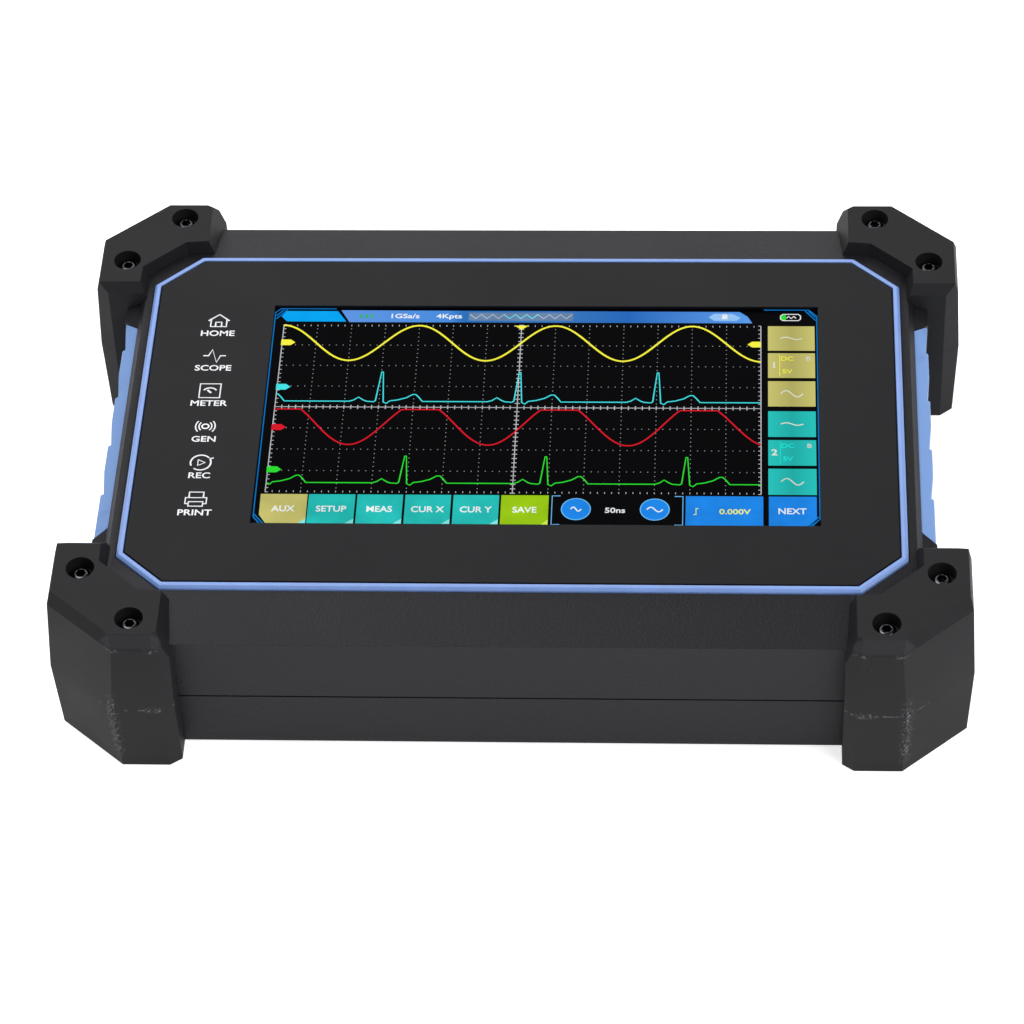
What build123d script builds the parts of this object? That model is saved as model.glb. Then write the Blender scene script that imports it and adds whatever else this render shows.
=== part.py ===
"""Portable oscilloscope in a flat tablet case, built as separate pieces.

Millimetres. +X is to the right, +Y points away from the user to the connector wall, +Z is up.
The origin is on the table, under the middle of the case. Each piece is written as one STEP file.
"""
import os
from math import cos, radians, sin
from build123d import *

# ---- overall case ----
CASE_HALF_X = 118.0
CASE_HALF_Y = 85.8
CASE_BOTTOM = 0.3
CASE_TOP = 46.8
SHOULDER_DROP_Y = 3.9
SHOULDER_DROP_X = 3.2
RIM_INSET = 1.8
RIM_DROP = 0.6
BOTTOM_CHAMFER = 0.6
WALL = 2.4
TOP_PLATE = 3.4
PARTING_Z = 20.6
PARTING_GAP = 0.5
SEAL_INSET = 0.6
INNER_CORNER_X = 25.5
INNER_CORNER_Y = 33.3

# ---- front panel, trim and glass ----
PANEL_MARGIN_X = 6.8
PANEL_MARGIN_Y = 19.8
PANEL_HALF_X = CASE_HALF_X - PANEL_MARGIN_X
PANEL_HALF_Y = CASE_HALF_Y - PANEL_MARGIN_Y
PANEL_CUT_X = 12.1
PANEL_CUT_Y = 11.0
PANEL_THICK = 1.2
TRIM_WIDTH = 2.0
TRIM_GAP = 0.4
TRIM_GROOVE_GAP = 0.25
TRIM_SINK = 1.0
TRIM_PROUD = 0.0
TRIM_CHAMFER = 0.8
WINDOW_X = 6.47
WINDOW_Y = 1.67
WINDOW_HALF_X = 82.3
WINDOW_HALF_Y = 45.0
GLASS_LAP = 4.0
GLASS_THICK = 1.8
LEDGE_SETBACK = 1.5
FIT_GAP = 0.1

# ---- touch keys and display ----
KEY_INSET = 18.8
KEY_X = KEY_INSET - PANEL_HALF_X
KEY_BOARD_WIDTH = 14.0
KEY_BOARD_LENGTH = 94.0
KEY_BOARD_THICK = 1.0
LCD_HALF_X = 86.0
LCD_HALF_Y = 49.0
LCD_THICK = 5.4
LCD_BACK_INSET = 6.0
LCD_BACK_THICK = 1.0
GASKET_THICK = 0.8
GASKET_WIDTH = 2.5
BRACKET_THICK = 1.4
BRACKET_TAB = 9.0
BRACKET_TAB_Y = 34.0
BRACKET_EDGE = 1.0
BRACKET_RAIL = 13.0
BRACKET_SCREW_REACH = 5.0

# ---- corner bumpers ----
BUMPER_PROUD = 3.9
BUMPER_TOP = CASE_TOP + BUMPER_PROUD
BUMPER_WIDEST_Z = 25.0
BUMPER_CREASE_DROP = 3.7
BUMPER_LEVELS = (
    # height, beyond the case along X and Y, corner cut along X and Y, inner end's inset and its cut
    (0.0, 13.4, 8.8, 19.0, 16.4, 22.8, 3.4, 2.4),
    (BUMPER_WIDEST_Z, 14.5, 9.5, 19.6, 16.92, 22.8, 3.4, 2.4),
    (BUMPER_TOP - BUMPER_CREASE_DROP, 13.4, 6.2, 20.3, 17.52, 21.4, 3.0, 2.0),
    (BUMPER_TOP, 12.4, 2.8, 18.5, 15.97, 19.6, 1.7, 1.2),
)
BUMPER_DRAFT_DROP = 4.8
BUMPER_DRAFT_Z = CASE_TOP - BUMPER_DRAFT_DROP
# the bumper's inner walls, as insets from the case's half width and half depth
INNER_INSETS = ((22.8, 15.2), (13.7, 16.0), (4.0, 25.2), (4.4, 45.8))
INNER_TOP_INSETS = ((19.6, 13.4), (12.8, 14.0), (0.4, 24.9), (0.1, 45.8))
BUMPER_INNER = tuple((CASE_HALF_X - x, CASE_HALF_Y - y) for x, y in INNER_INSETS)
BUMPER_INNER_TOP = tuple((CASE_HALF_X - x, CASE_HALF_Y - y) for x, y in INNER_TOP_INSETS)
ARM_END_INSET = 37.8
ARM_END_Y = CASE_HALF_Y - ARM_END_INSET
ARM_END_LEAN = 3.9
ARM_END_CHAMFER = 2.6
ARM_END_CORNER_OUT = 9.6
ARM_END_CORNER_SLOPE = 0.8
FOOT_THICK = 2.5
LUG_OUT_X = 9.4
LUG_OUT_Y = 4.2
LUG_HALF_X = CASE_HALF_X + LUG_OUT_X
LUG_HALF_Y = CASE_HALF_Y + LUG_OUT_Y
LUG_CUT_X = 16.0
LUG_CUT_Y = 14.5
LUG_INSET_X = 18.0
LUG_INSET_Y = 28.8
LUG_START_X = CASE_HALF_X - LUG_INSET_X
LUG_START_Y = CASE_HALF_Y - LUG_INSET_Y
LUG_TOP = BUMPER_DRAFT_Z
LUG_BOTTOM = CASE_BOTTOM + FOOT_THICK
BUMPER_SCREWS = ((CASE_HALF_X + 4.66, CASE_HALF_Y - 22.02), (CASE_HALF_X - 11.35, CASE_HALF_Y - 3.03))
BUMPER_SCREW_BORE = 4.1
BUMPER_SCREW_SEAT = BUMPER_TOP - 4.5
BUMPER_SCREW_HEAD = 2.8
BUMPER_SCREW_HEAD_HEIGHT = 2.3
BUMPER_SCREW_DOME = 1.3
BUMPER_SCREW_SHANK = 1.5
BUMPER_SCREW_REACH = 14.0
BUMPER_SCREW_END = LUG_TOP - BUMPER_SCREW_REACH
HEX_FLAT = 2.5
HEX_DEPTH = 1.5

# ---- side grips ----
GRIP_SINK = 0.5
GRIP_OUT = 3.9
GRIP_INNER_X = CASE_HALF_X - GRIP_SINK
GRIP_OUTER_X = CASE_HALF_X + GRIP_OUT
GRIP_LOW = 9.0
GRIP_DROP = 3.4
GRIP_TOP = CASE_TOP - GRIP_DROP
GRIP_TOP_DROP = 1.3
GRIP_EDGE = 0.5
GRIP_END_INSET = 44.8
GRIP_END_SLANT = 3.4
GRIP_END_INNER = CASE_HALF_Y - GRIP_END_INSET
GRIP_GAP = 0.3
SCALLOP_START = -27.0
SCALLOP_PITCH = 20.0
SCALLOP_COUNT = 4
SCALLOP_DEPTH = 1.0
POD_PROUD = 0.3
POD_LOW = 6.0
POD_EDGE = 3.0
GRIP_SCREW_YS = (-28.0, 0.0, 28.0)
GRIP_SCREW_Z = 32.0
GRIP_SCREW_REACH = 2.4
GRIP_SCREW_HEAD_HEIGHT = 1.4

# ---- connector bay in the far wall ----
BAY_HALF_X = 90.0
BAY_LOW = 6.5
BAY_HIGH = 36.5
BAY_WALL = 2.4
PLATE_SET_BACK = 9.8
PLATE_OUTER_Y = CASE_HALF_Y - PLATE_SET_BACK
PLATE_THICK = 2.0
PLATE_EDGE = 1.2
BAY_LIP = 2.0
BAY_INNER_Y = PLATE_OUTER_Y - PLATE_THICK - BAY_LIP
CONNECTOR_Z = 21.5
COAX_XS = (-78.0, -56.0, -34.0)
COAX_NAMES = ("channel_1", "channel_2", "generator")
COAX_R = 4.8
COAX_NOSE_R = 4.7
COAX_NOSE_LENGTH = 4.0
COAX_BORE_R = 4.05
COAX_BORE_DEPTH = 9.5
COAX_CORE_R = 2.5
COAX_PIN_R = 1.1
COAX_PIN_BORE_R = 0.7
COAX_LENGTH = 15.5
COAX_BLOCK = 10.0
COAX_BLOCK_STEP = 1.2
COAX_CORE_SET_BACK = 1.2
COAX_PIN_DEPTH = 6.0
COAX_TAIL = 3.0
COAX_NUT_FLAT = 14.0
COAX_NUT_THICK = 2.4
COAX_LUG_R = 1.0
COAX_LUG_OUT = 0.8
COAX_LUG_BACK = 5.2
METER_XS = (-10.0, 9.0, 28.0, 47.0)
METER_COMMON = 2
METER_BODY_R = 5.6
METER_FLANGE = 1.0
METER_FLANGE_R = METER_BODY_R + METER_FLANGE
METER_SLOT_R = 4.3
METER_CORE_R = 3.0
METER_SLEEVE_R = 2.5
METER_BORE_R = 2.0
METER_DEPTH = 15.5
METER_FLANGE_THICK = 2.4
METER_FLOOR = 3.0
METER_CORE_PROUD = 1.2
METER_SLEEVE_PROUD = 0.8
METER_TAIL = 3.0
TONGUE_SHARES = (0.32, 0.22)
PORT_X = 66.0
HOST_PORT_Z = 28.5
DEVICE_PORT_Z = 15.0
HOST_PORT = (13.2, 5.8)
DEVICE_PORT = (9.0, 3.3)
PORT_WALL = 0.35
PORT_DEPTH = 13.0
PORT_BACK = 1.0
PORT_PROUD = 0.6
TONGUE_SET_BACK = 0.8
TONGUE_SIDE_GAP = 0.7
POWER_X = 80.0
BUTTON_Z = 28.5
BUTTON_R = 4.5
BUTTON_CLEARANCE = 0.08
BUTTON_PROUD = 1.4
BUTTON_TRAVEL = 1.0
BUTTON_EDGE = 0.4
BUTTON_FLANGE = 1.0
BUTTON_FLANGE_THICK = 1.2
BUTTON_PLAY = 0.1
SWITCH_HALF = 3.0
SWITCH_THICK = 3.5
CARRIER_EDGE = 2.5
CARRIER_LEG = 1.0
INLET_Z = 14.5
INLET_BORE_R = 2.85
INLET_PIN_R = 1.0
INLET_BODY = (9.6, 10.6, 13.0)
INLET_HOLE_R = 4.0
INLET_DEPTH = 9.0
INLET_PIN_SET_BACK = 0.8

# ---- stand and its pocket ----
STAND_HALF_X = 45.0
STAND_FREE_Y = -52.0
STAND_THICK = 3.6
STAND_LOW = 1.4
STAND_GAP = 1.0
HINGE_Y = 57.5
HINGE_BARREL_R = 2.5
HINGE_Z = STAND_LOW + HINGE_BARREL_R
HINGE_PIN_R = 1.5
HINGE_PIN_CLEARANCE = 0.05
HINGE_PIN_IN = 9.0
HINGE_PIN_OUT = 5.0
POCKET_ROOM = 0.5
POCKET_TOP = HINGE_Z + HINGE_BARREL_R + POCKET_ROOM
FOOT_STRIP_INSET = 7.0
FOOT_STRIP_HALF_X = STAND_HALF_X - FOOT_STRIP_INSET
FOOT_STRIP_WIDTH = 6.0
FOOT_STRIP_PROUD = 0.5
FOOT_STRIP_SINK = 0.8
FINGER_HALF_X = 12.0
FINGER_DEPTH_Y = 9.0
STAND_CORNER = 8.0
STAND_SLOT_INSET = 14.0
STAND_SLOT_BACK = 3.4
RIB_COUNT = 5
RIB_PITCH = 14.0
RIB_WIDTH = 8.0
RIB_DEPTH = 1.0
RIB_START = 24.0
RIB_INSET = 8.0
FOOT_STRIP_SETBACK = 3.0
HINGE_ARM = 2.2
HINGE_CHEEK = 1.5
PIN_END_GAP = 0.3

# ---- battery ----
BATTERY_X = -78.0
BATTERY_HALF_X = 23.0
BATTERY_HALF_Y = 46.0
BATTERY_THICK = 15.0
DOOR_HALF_X = 26.5
DOOR_HALF_Y = 56.0
DOOR_THICK = 1.8
DOOR_SCREW_DX = 10.0
DOOR_SCREW_Y = 51.5
DOOR_SCREW_HEAD = 2.6
DOOR_SCREW_SINK = 0.9
DOOR_SCREW_SLOT = 0.35
DOOR_SCREW_REACH = 4.8
BATTERY_GAP = 0.5
BATTERY_EDGE = 3.0

# ---- boards ----
BOARD_SET_BACK_X = 14.0
BOARD_SET_BACK_Y = 16.0
BOARD_HALF_X = CASE_HALF_X - BOARD_SET_BACK_X
BOARD_HALF_Y = PLATE_OUTER_Y - BOARD_SET_BACK_Y
BOARD_Z = 24.0
BOARD_THICK = 1.6
BOARD_SCREW_INSET = 4.0
BOARD_SCREW_X = BOARD_HALF_X - BOARD_SCREW_INSET
BOARD_SCREW_Y = BOARD_HALF_Y - BOARD_SCREW_INSET
BOARD_SCREWS = ((-BOARD_SCREW_X, -BOARD_SCREW_Y), (BOARD_SCREW_X, -BOARD_SCREW_Y),
                (-BOARD_SCREW_X, BOARD_SCREW_Y), (BOARD_SCREW_X, BOARD_SCREW_Y), (0.0, -BOARD_SCREW_Y))
POST_R = 4.0
POST_SINK = 0.5
BRACKET_TAB_SHARE = 0.8
BOARD_SCREW_REACH = 8.0
SCREW_R = 1.5
SCREW_HEAD_R = 3.0
SCREW_HEAD_HEIGHT = 1.8
SCREW_SLOT_HALF = 0.4
SCREW_SLOT_DEPTH = 0.8
SCREW_END_GAP = 0.2
HEAD_GAP = 0.2
NEAR_SCREW_Y = 9.8 - CASE_HALF_Y
SIDE_SCREW_X = CASE_HALF_X - 8.6
FAR_SCREW_X = CASE_HALF_X - 21.0
FAR_SCREW_Y = CASE_HALF_Y - 19.8
SHELL_SCREWS = ((-60.0, NEAR_SCREW_Y), (60.0, NEAR_SCREW_Y), (-SIDE_SCREW_X, -30.0), (-SIDE_SCREW_X, 30.0),
                (SIDE_SCREW_X, -30.0), (SIDE_SCREW_X, 30.0), (-FAR_SCREW_X, FAR_SCREW_Y),
                (-22.0, CASE_HALF_Y - 18.2), (FAR_SCREW_X, FAR_SCREW_Y))
SHELL_SCREW_END = 32.0
METER_BOARD = (-20.0, 60.0, 22.0, 54.0)
METER_BOARD_Z = 12.4
BUZZER = (76.0, -44.0)
BUZZER_R = 10.0
BUZZER_THICK = 5.0
BUZZER_WALL = 1.5
SOUND_HOLES = 6
SOUND_HOLE_R = 1.0
SOUND_HOLE_RING = 5.0
SHIELD_Y = (BOARD_HALF_Y - 34.0, BOARD_HALF_Y - 2.0)
SHIELD_HALF_X = 9.5
SHIELD_HEIGHT = 6.0
SHIELD_WALL = 0.4
CHIP = (8.0, 33.0, -14.0, 11.0)
CHIP_THICK = 2.2
SPREADER = (-4.0, 45.0, -26.0, 23.0)
SPREADER_THICK = 1.6
FIN_COUNT = 9
FIN_THICK = 1.0
FIN_HEIGHT = 3.4
MEMORY_X = (-30.0, -20.0)
MEMORY_YS = (-30.0, -19.0, -8.0, 3.0)
MEMORY_LENGTH = 8.0
MEMORY_THICK = 1.2
SPACER_R = 2.5
SPACER_INSET = 4.0
FUSE_R = 2.6
FUSE_X = (4.0, 24.0)
FUSE_YS = (30.0, 38.0)
CABLE_X = (30.0, 58.0)
CABLE_THICK = 0.3
CABLE_OUT = 6.0
PLUG_THICK = 2.0
VENT_START = 62.0
VENT_PITCH = 6.0
VENT_XS = tuple(VENT_START + VENT_PITCH * i for i in range(7))
VENT_HALF_Y = 14.0
VENT_HALF_X = 1.0

PARTS = {}


def block(x0, x1, y0, y1, z0, z1):
    """A box between two corners."""
    centre = ((x0 + x1) / 2, (y0 + y1) / 2, (z0 + z1) / 2)
    return Pos(*centre) * Box(x1 - x0, y1 - y0, z1 - z0)


def prism(points, z0, z1):
    """A flat outline in plan, raised from z0 to z1."""
    outline = make_face(Polyline(*points, close=True))
    return Pos(0, 0, z0) * extrude(outline, z1 - z0)


def rod_z(x, y, z0, z1, r):
    """An upright cylinder."""
    return Pos(x, y, (z0 + z1) / 2) * Cylinder(r, z1 - z0)


def rod_y(x, z, y0, y1, r):
    """A cylinder that runs away from the user."""
    return Pos(x, (y0 + y1) / 2, z) * Rot(90, 0, 0) * Cylinder(r, y1 - y0)


def rod_x(y, z, x0, x1, r):
    """A cylinder that runs from left to right."""
    return Pos((x0 + x1) / 2, y, z) * Rot(0, 90, 0) * Cylinder(r, x1 - x0)


def octagon(half_x, half_y, cut_x, cut_y):
    """The corners of a rectangle with cut corners."""
    in_x = half_x - cut_x
    in_y = half_y - cut_y
    return [(half_x, in_y), (in_x, half_y), (-in_x, half_y), (-half_x, in_y),
            (-half_x, -in_y), (-in_x, -half_y), (in_x, -half_y), (half_x, -in_y)]


def four(shape):
    """A shape in the right far quarter, copied to all four quarters."""
    right = shape + mirror(shape, Plane.XZ)
    return right + mirror(right, Plane.YZ)


def along_x(points, half):
    """A profile in Y and Z, drawn out along X both ways."""
    face = make_face(Polyline(*[(0, y, z) for y, z in points], close=True))
    return extrude(face, half, dir=(1, 0, 0), both=True)


def along_y(points, half):
    """A profile in X and Z, drawn out along Y both ways."""
    face = make_face(Polyline(*[(x, 0, z) for x, z in points], close=True))
    return extrude(face, half, dir=(0, 1, 0), both=True)


def profile(half, shoulder, inset, low, top):
    """A side view of the case: upright walls, sloping shoulders and a chamfered bottom edge.

    The shoulder is a list of places out from the middle, each with its drop below the top.
    """
    out = half - inset
    right = [(out - BOTTOM_CHAMFER, low), (out, low + BOTTOM_CHAMFER)]
    right += [(place - inset, top - drop) for place, drop in shoulder]
    return right + [(-x, z) for x, z in reversed(right)]


SHOULDER_FOOT_X = PANEL_HALF_X + TRIM_GAP + TRIM_WIDTH
SHOULDER_FOOT_Y = PANEL_HALF_Y + TRIM_GAP + TRIM_WIDTH
REACH = 200.0


def case_body(inset, low, top):
    """The plain case with its shoulders, or its inside when inset is the wall."""
    far_shoulder = [(CASE_HALF_Y, SHOULDER_DROP_Y), (SHOULDER_FOOT_Y, 0.0)]
    rim = CASE_HALF_X - RIM_INSET
    side_shoulder = [(CASE_HALF_X, SHOULDER_DROP_X), (rim, RIM_DROP), (SHOULDER_FOOT_X, 0.0)]
    side_view = profile(CASE_HALF_Y, far_shoulder, inset, low, top)
    front_view = profile(CASE_HALF_X, side_shoulder, inset, low, top)
    return along_x(side_view, CASE_HALF_X - inset) & along_y(front_view, CASE_HALF_Y - inset)


def bumper_plan(z0, z1):
    """The ground that one bumper covers, as an upright prism."""
    points = [(BUMPER_INNER[0][0], REACH), *BUMPER_INNER, (REACH, BUMPER_INNER[-1][1]), (REACH, REACH)]
    return prism(points, z0, z1)


def lug():
    """The corner post of the case that a bumper wraps."""
    points = [(LUG_START_X, CASE_HALF_Y - WALL), (LUG_START_X, LUG_HALF_Y),
              (LUG_HALF_X - LUG_CUT_X, LUG_HALF_Y), (LUG_HALF_X, LUG_HALF_Y - LUG_CUT_Y),
              (LUG_HALF_X, LUG_START_Y), (CASE_HALF_X - WALL, LUG_START_Y)]
    return prism(points, LUG_BOTTOM, LUG_TOP)


def pod():
    """The right side's raised frame, which the grip is let into."""
    out = GRIP_OUTER_X + POD_PROUD
    root = CASE_HALF_X - WALL / 2
    section = [(root, POD_LOW), (out - POD_EDGE, POD_LOW), (out, POD_LOW + POD_EDGE),
               (out, GRIP_TOP - GRIP_TOP_DROP), (root, GRIP_TOP)]
    return along_y(section, LUG_START_Y + FIT_GAP)


def case_outside():
    """The whole outer form of the case, with the bumpers' foot recesses cut in."""
    side = pod() - grip_bar(GRIP_GAP)
    solid = case_body(0.0, CASE_BOTTOM, CASE_TOP) - grip_bar(GRIP_GAP) - mirror(grip_bar(GRIP_GAP), Plane.YZ)
    solid += four(lug())
    solid += side + mirror(side, Plane.YZ)
    return solid - four(bumper_plan(-1.0, LUG_BOTTOM))


def grip_bar(grow):
    """The right grip before its scallops, or its pocket when it is grown."""
    inner = GRIP_INNER_X - grow
    out = GRIP_OUTER_X + 2 * grow
    low = GRIP_LOW - grow
    top = GRIP_TOP + 2 * grow
    section = [(inner, low), (out - GRIP_EDGE, low), (out, low + GRIP_EDGE),
               (out, top - GRIP_TOP_DROP - GRIP_EDGE), (out - GRIP_EDGE, top - GRIP_TOP_DROP), (inner, top)]
    slant = GRIP_END_SLANT / (GRIP_OUTER_X - GRIP_INNER_X)
    end = GRIP_END_INNER + grow
    far = end + (out - GRIP_INNER_X) * slant
    near = end + (inner - GRIP_INNER_X) * slant
    plan = [(inner, -near), (out, -far), (out, far), (inner, near)]
    return along_y(section, far) & prism(plan, 0, BUMPER_TOP)


def case_inside():
    """The room inside the case, with solid corners left under the bumpers."""
    room = case_body(WALL, CASE_BOTTOM + WALL, CASE_TOP - TOP_PLATE)
    corners = octagon(CASE_HALF_X - WALL, CASE_HALF_Y - WALL, INNER_CORNER_X, INNER_CORNER_Y)
    return room & prism(corners, 0, BUMPER_TOP)


def bay_block(grow, y0, y1):
    """The connector bay, or its walls when it is grown by their thickness."""
    return block(-BAY_HALF_X - grow, BAY_HALF_X + grow, y0, y1, BAY_LOW - grow, BAY_HIGH + grow)


def pocket_block(grow, top):
    """The pocket that the stand folds into, with its finger notch."""
    half = STAND_HALF_X + STAND_GAP + grow
    far = HINGE_Y + HINGE_BARREL_R + STAND_GAP + grow
    near = STAND_FREE_Y - STAND_GAP - grow
    notch = block(-FINGER_HALF_X - grow, FINGER_HALF_X + grow, near - FINGER_DEPTH_Y, near + 1,
                  CASE_BOTTOM - 1, top)
    return block(-half, half, near, far, CASE_BOTTOM - 1, top) + notch


def shell_posts(z0, z1):
    """The posts that the shell screws run in."""
    return [rod_z(x, y, z0, z1, POST_R) for x, y in SHELL_SCREWS]


OUTSIDE = case_outside()
INSIDE = case_inside()
UPPER = block(-REACH, REACH, -REACH, REACH, PARTING_Z + PARTING_GAP / 2, REACH)
LOWER = block(-REACH, REACH, -REACH, REACH, -REACH, PARTING_Z - PARTING_GAP / 2)


def bay_groove():
    """The groove in the bay's walls that holds the connector plate."""
    return bay_block(PLATE_EDGE + FIT_GAP, PLATE_OUTER_Y - PLATE_THICK - FIT_GAP / 2,
                     PLATE_OUTER_Y + FIT_GAP / 2)


def bumper_screw_holes():
    """The pilot holes in the corner posts."""
    return four(Compound([rod_z(x, y, BUMPER_SCREW_END, BUMPER_TOP, BUMPER_SCREW_SHANK)
                          for x, y in BUMPER_SCREWS]))


def window_opening(half_x, half_y, z0, z1):
    """A rectangular opening about the middle of the screen."""
    return block(WINDOW_X - half_x, WINDOW_X + half_x, WINDOW_Y - half_y, WINDOW_Y + half_y, z0, z1)


def front_shell():
    """The upper shell: shoulders, near wall, display ledge, key pocket and trim groove."""
    shell = (OUTSIDE - INSIDE) & UPPER
    shell += bay_block(BAY_WALL, BAY_INNER_Y, CASE_HALF_Y) & UPPER
    shell -= bay_block(0, BAY_INNER_Y - 1, REACH)
    shell -= bay_groove()
    for post in shell_posts(PARTING_Z + PARTING_GAP / 2, CASE_TOP - TOP_PLATE + POST_SINK):
        shell += post
    for x, y in SHELL_SCREWS:
        shell -= rod_z(x, y, PARTING_Z, SHELL_SCREW_END, SCREW_R)
    for x, y in bracket_screw_places():
        shell += rod_z(x, y, bracket_top(), CASE_TOP - TOP_PLATE + POST_SINK, POST_R)
        shell -= rod_z(x, y, bracket_top(), bracket_top() + BRACKET_SCREW_REACH, SCREW_R)
    glass_half_x = WINDOW_HALF_X + GLASS_LAP + FIT_GAP
    glass_half_y = WINDOW_HALF_Y + GLASS_LAP + FIT_GAP
    shell -= window_opening(glass_half_x, glass_half_y, CASE_TOP - GLASS_THICK, REACH)
    shell -= window_opening(WINDOW_HALF_X + LEDGE_SETBACK, WINDOW_HALF_Y + LEDGE_SETBACK, PARTING_Z, REACH)
    shell -= key_board_block(FIT_GAP, REACH)
    shell -= trim_outline(FIT_GAP / 2, TRIM_GROOVE_GAP, CASE_TOP - TRIM_SINK, REACH)
    return shell - bumper_screw_holes()


def trim_outline(inner_grow, outer_grow, z0, z1):
    """A ring that follows the cut-cornered edge of the panel."""
    inner = TRIM_GAP - inner_grow
    outer = TRIM_GAP + TRIM_WIDTH + outer_grow
    return panel_octagon(outer, z0, z1) - panel_octagon(inner, z0 - 1, z1 + 1)


def panel_octagon(grow, z0, z1):
    """The panel's outline, grown evenly on every edge."""
    corner_ratio = (PANEL_CUT_X ** 2 + PANEL_CUT_Y ** 2) ** 0.5
    shrink = PANEL_CUT_X + PANEL_CUT_Y - corner_ratio
    cut_x = PANEL_CUT_X + grow * shrink / PANEL_CUT_Y
    cut_y = PANEL_CUT_Y + grow * shrink / PANEL_CUT_X
    return prism(octagon(PANEL_HALF_X + grow, PANEL_HALF_Y + grow, cut_x, cut_y), z0, z1)


def trim_ring():
    """The blue ring: a flat top land with a chamfer on its outer edge."""
    top = CASE_TOP + PANEL_THICK + TRIM_PROUD
    ring = trim_outline(0, 0, CASE_TOP - TRIM_SINK, top)
    outer_edges = ring.edges().filter_by(lambda e: e.center().Z > top - 0.01
                                         and outside_ring(e.center()))
    return chamfer(outer_edges, TRIM_CHAMFER)


def outside_ring(point):
    """True for a point on the outer edge of the trim."""
    middle = panel_octagon(TRIM_GAP + TRIM_WIDTH / 2, point.Z - 1, point.Z + 1)
    return not middle.is_inside(Vector(point.X, point.Y, point.Z))


def front_panel():
    """The flat overlay with its screen window."""
    panel = panel_octagon(0, CASE_TOP, CASE_TOP + PANEL_THICK)
    return panel - window_opening(WINDOW_HALF_X, WINDOW_HALF_Y, 0, REACH)


def touch_glass():
    """The touch glass that lies under the panel's window."""
    return window_opening(WINDOW_HALF_X + GLASS_LAP, WINDOW_HALF_Y + GLASS_LAP,
                          CASE_TOP - GLASS_THICK, CASE_TOP)


def key_board_block(grow, top):
    """The touch key board, or its pocket when it is grown."""
    half_x = KEY_BOARD_WIDTH / 2 + grow
    half_y = KEY_BOARD_LENGTH / 2 + grow
    return block(KEY_X - half_x, KEY_X + half_x, -half_y, half_y, CASE_TOP - KEY_BOARD_THICK, top)


def display_gasket():
    """The foam frame between the display and its ledge."""
    top = CASE_TOP - TOP_PLATE
    ring = window_opening(LCD_HALF_X, LCD_HALF_Y, top - GASKET_THICK, top)
    return ring - window_opening(LCD_HALF_X - GASKET_WIDTH, LCD_HALF_Y - GASKET_WIDTH, 0, REACH)


def lcd_top():
    """The height of the display module's face."""
    return CASE_TOP - TOP_PLATE - GASKET_THICK


def bracket_top():
    """The height where the display rests on its bracket."""
    return lcd_top() - LCD_THICK


def display_module():
    """The display module with a shallow metal back."""
    step = bracket_top() + LCD_BACK_THICK
    back = window_opening(LCD_HALF_X - LCD_BACK_INSET, LCD_HALF_Y - LCD_BACK_INSET, bracket_top(), step)
    frame = window_opening(LCD_HALF_X, LCD_HALF_Y, step, lcd_top())
    return frame + back


def bracket_screw_places():
    """The four ears of the display bracket."""
    dx = LCD_HALF_X + BRACKET_TAB / 2 + POST_SINK
    return [(WINDOW_X + sx * dx, WINDOW_Y + sy * BRACKET_TAB_Y) for sx in (-1, 1) for sy in (-1, 1)]


def display_bracket():
    """The pressed metal frame that holds the display up."""
    low = bracket_top() - BRACKET_THICK
    half_x = LCD_HALF_X - BRACKET_EDGE
    half_y = LCD_HALF_Y - BRACKET_EDGE
    plate = window_opening(half_x, half_y, low, bracket_top())
    plate -= window_opening(half_x - BRACKET_RAIL, half_y - BRACKET_RAIL, 0, REACH)
    for x, y in bracket_screw_places():
        towards = WINDOW_X + (x - WINDOW_X) * BRACKET_TAB_SHARE
        plate += block(min(x, towards), max(x, towards), y - POST_R, y + POST_R, low, bracket_top())
        plate += rod_z(x, y, low, bracket_top(), POST_R)
        plate -= rod_z(x, y, low, bracket_top(), SCREW_R)
    return plate


def cap_screw(x, y, head_z, end_z, up):
    """A small screw: its head starts at head_z, and the shank runs on to end_z."""
    head_end = head_z + SCREW_HEAD_HEIGHT * up
    head = rod_z(x, y, min(head_z, head_end), max(head_z, head_end), SCREW_HEAD_R)
    slot_end = head_z + SCREW_SLOT_DEPTH * up
    slot = block(x - SCREW_HEAD_R / 2, x + SCREW_HEAD_R / 2, y - SCREW_SLOT_HALF, y + SCREW_SLOT_HALF,
                 min(head_z, slot_end), max(head_z, slot_end))
    shank = rod_z(x, y, min(head_end, end_z), max(head_end, end_z), SCREW_R)
    return head - slot - turned(slot, x, y, 90) + shank


def turned(shape, x, y, angle):
    """A shape turned about the upright line through a place."""
    return Pos(x, y, 0) * Rot(0, 0, angle) * Pos(-x, -y, 0) * shape


def display_screws():
    """The screws under the display bracket."""
    head = bracket_top() - BRACKET_THICK - SCREW_HEAD_HEIGHT
    end = bracket_top() + BRACKET_SCREW_REACH - SCREW_END_GAP
    return [cap_screw(x, y, head, end, 1) for x, y in bracket_screw_places()]


def display_cable():
    """The flat cable from the display down to the main board."""
    x0, x1 = CABLE_X
    y_out = WINDOW_Y - LCD_HALF_Y
    y_down = y_out - CABLE_OUT
    level = bracket_top() + 2 * LCD_BACK_THICK
    board_top = BOARD_Z + BOARD_THICK
    flat = block(x0, x1, y_down, y_out, level, level + CABLE_THICK)
    down = block(x0, x1, y_down, y_down + CABLE_THICK, board_top, level)
    plug = block(x0 - 1, x1 + 1, y_down - PLUG_THICK, y_down + CABLE_THICK + PLUG_THICK, board_top,
                 board_top + PLUG_THICK)
    return flat + down + plug


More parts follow.
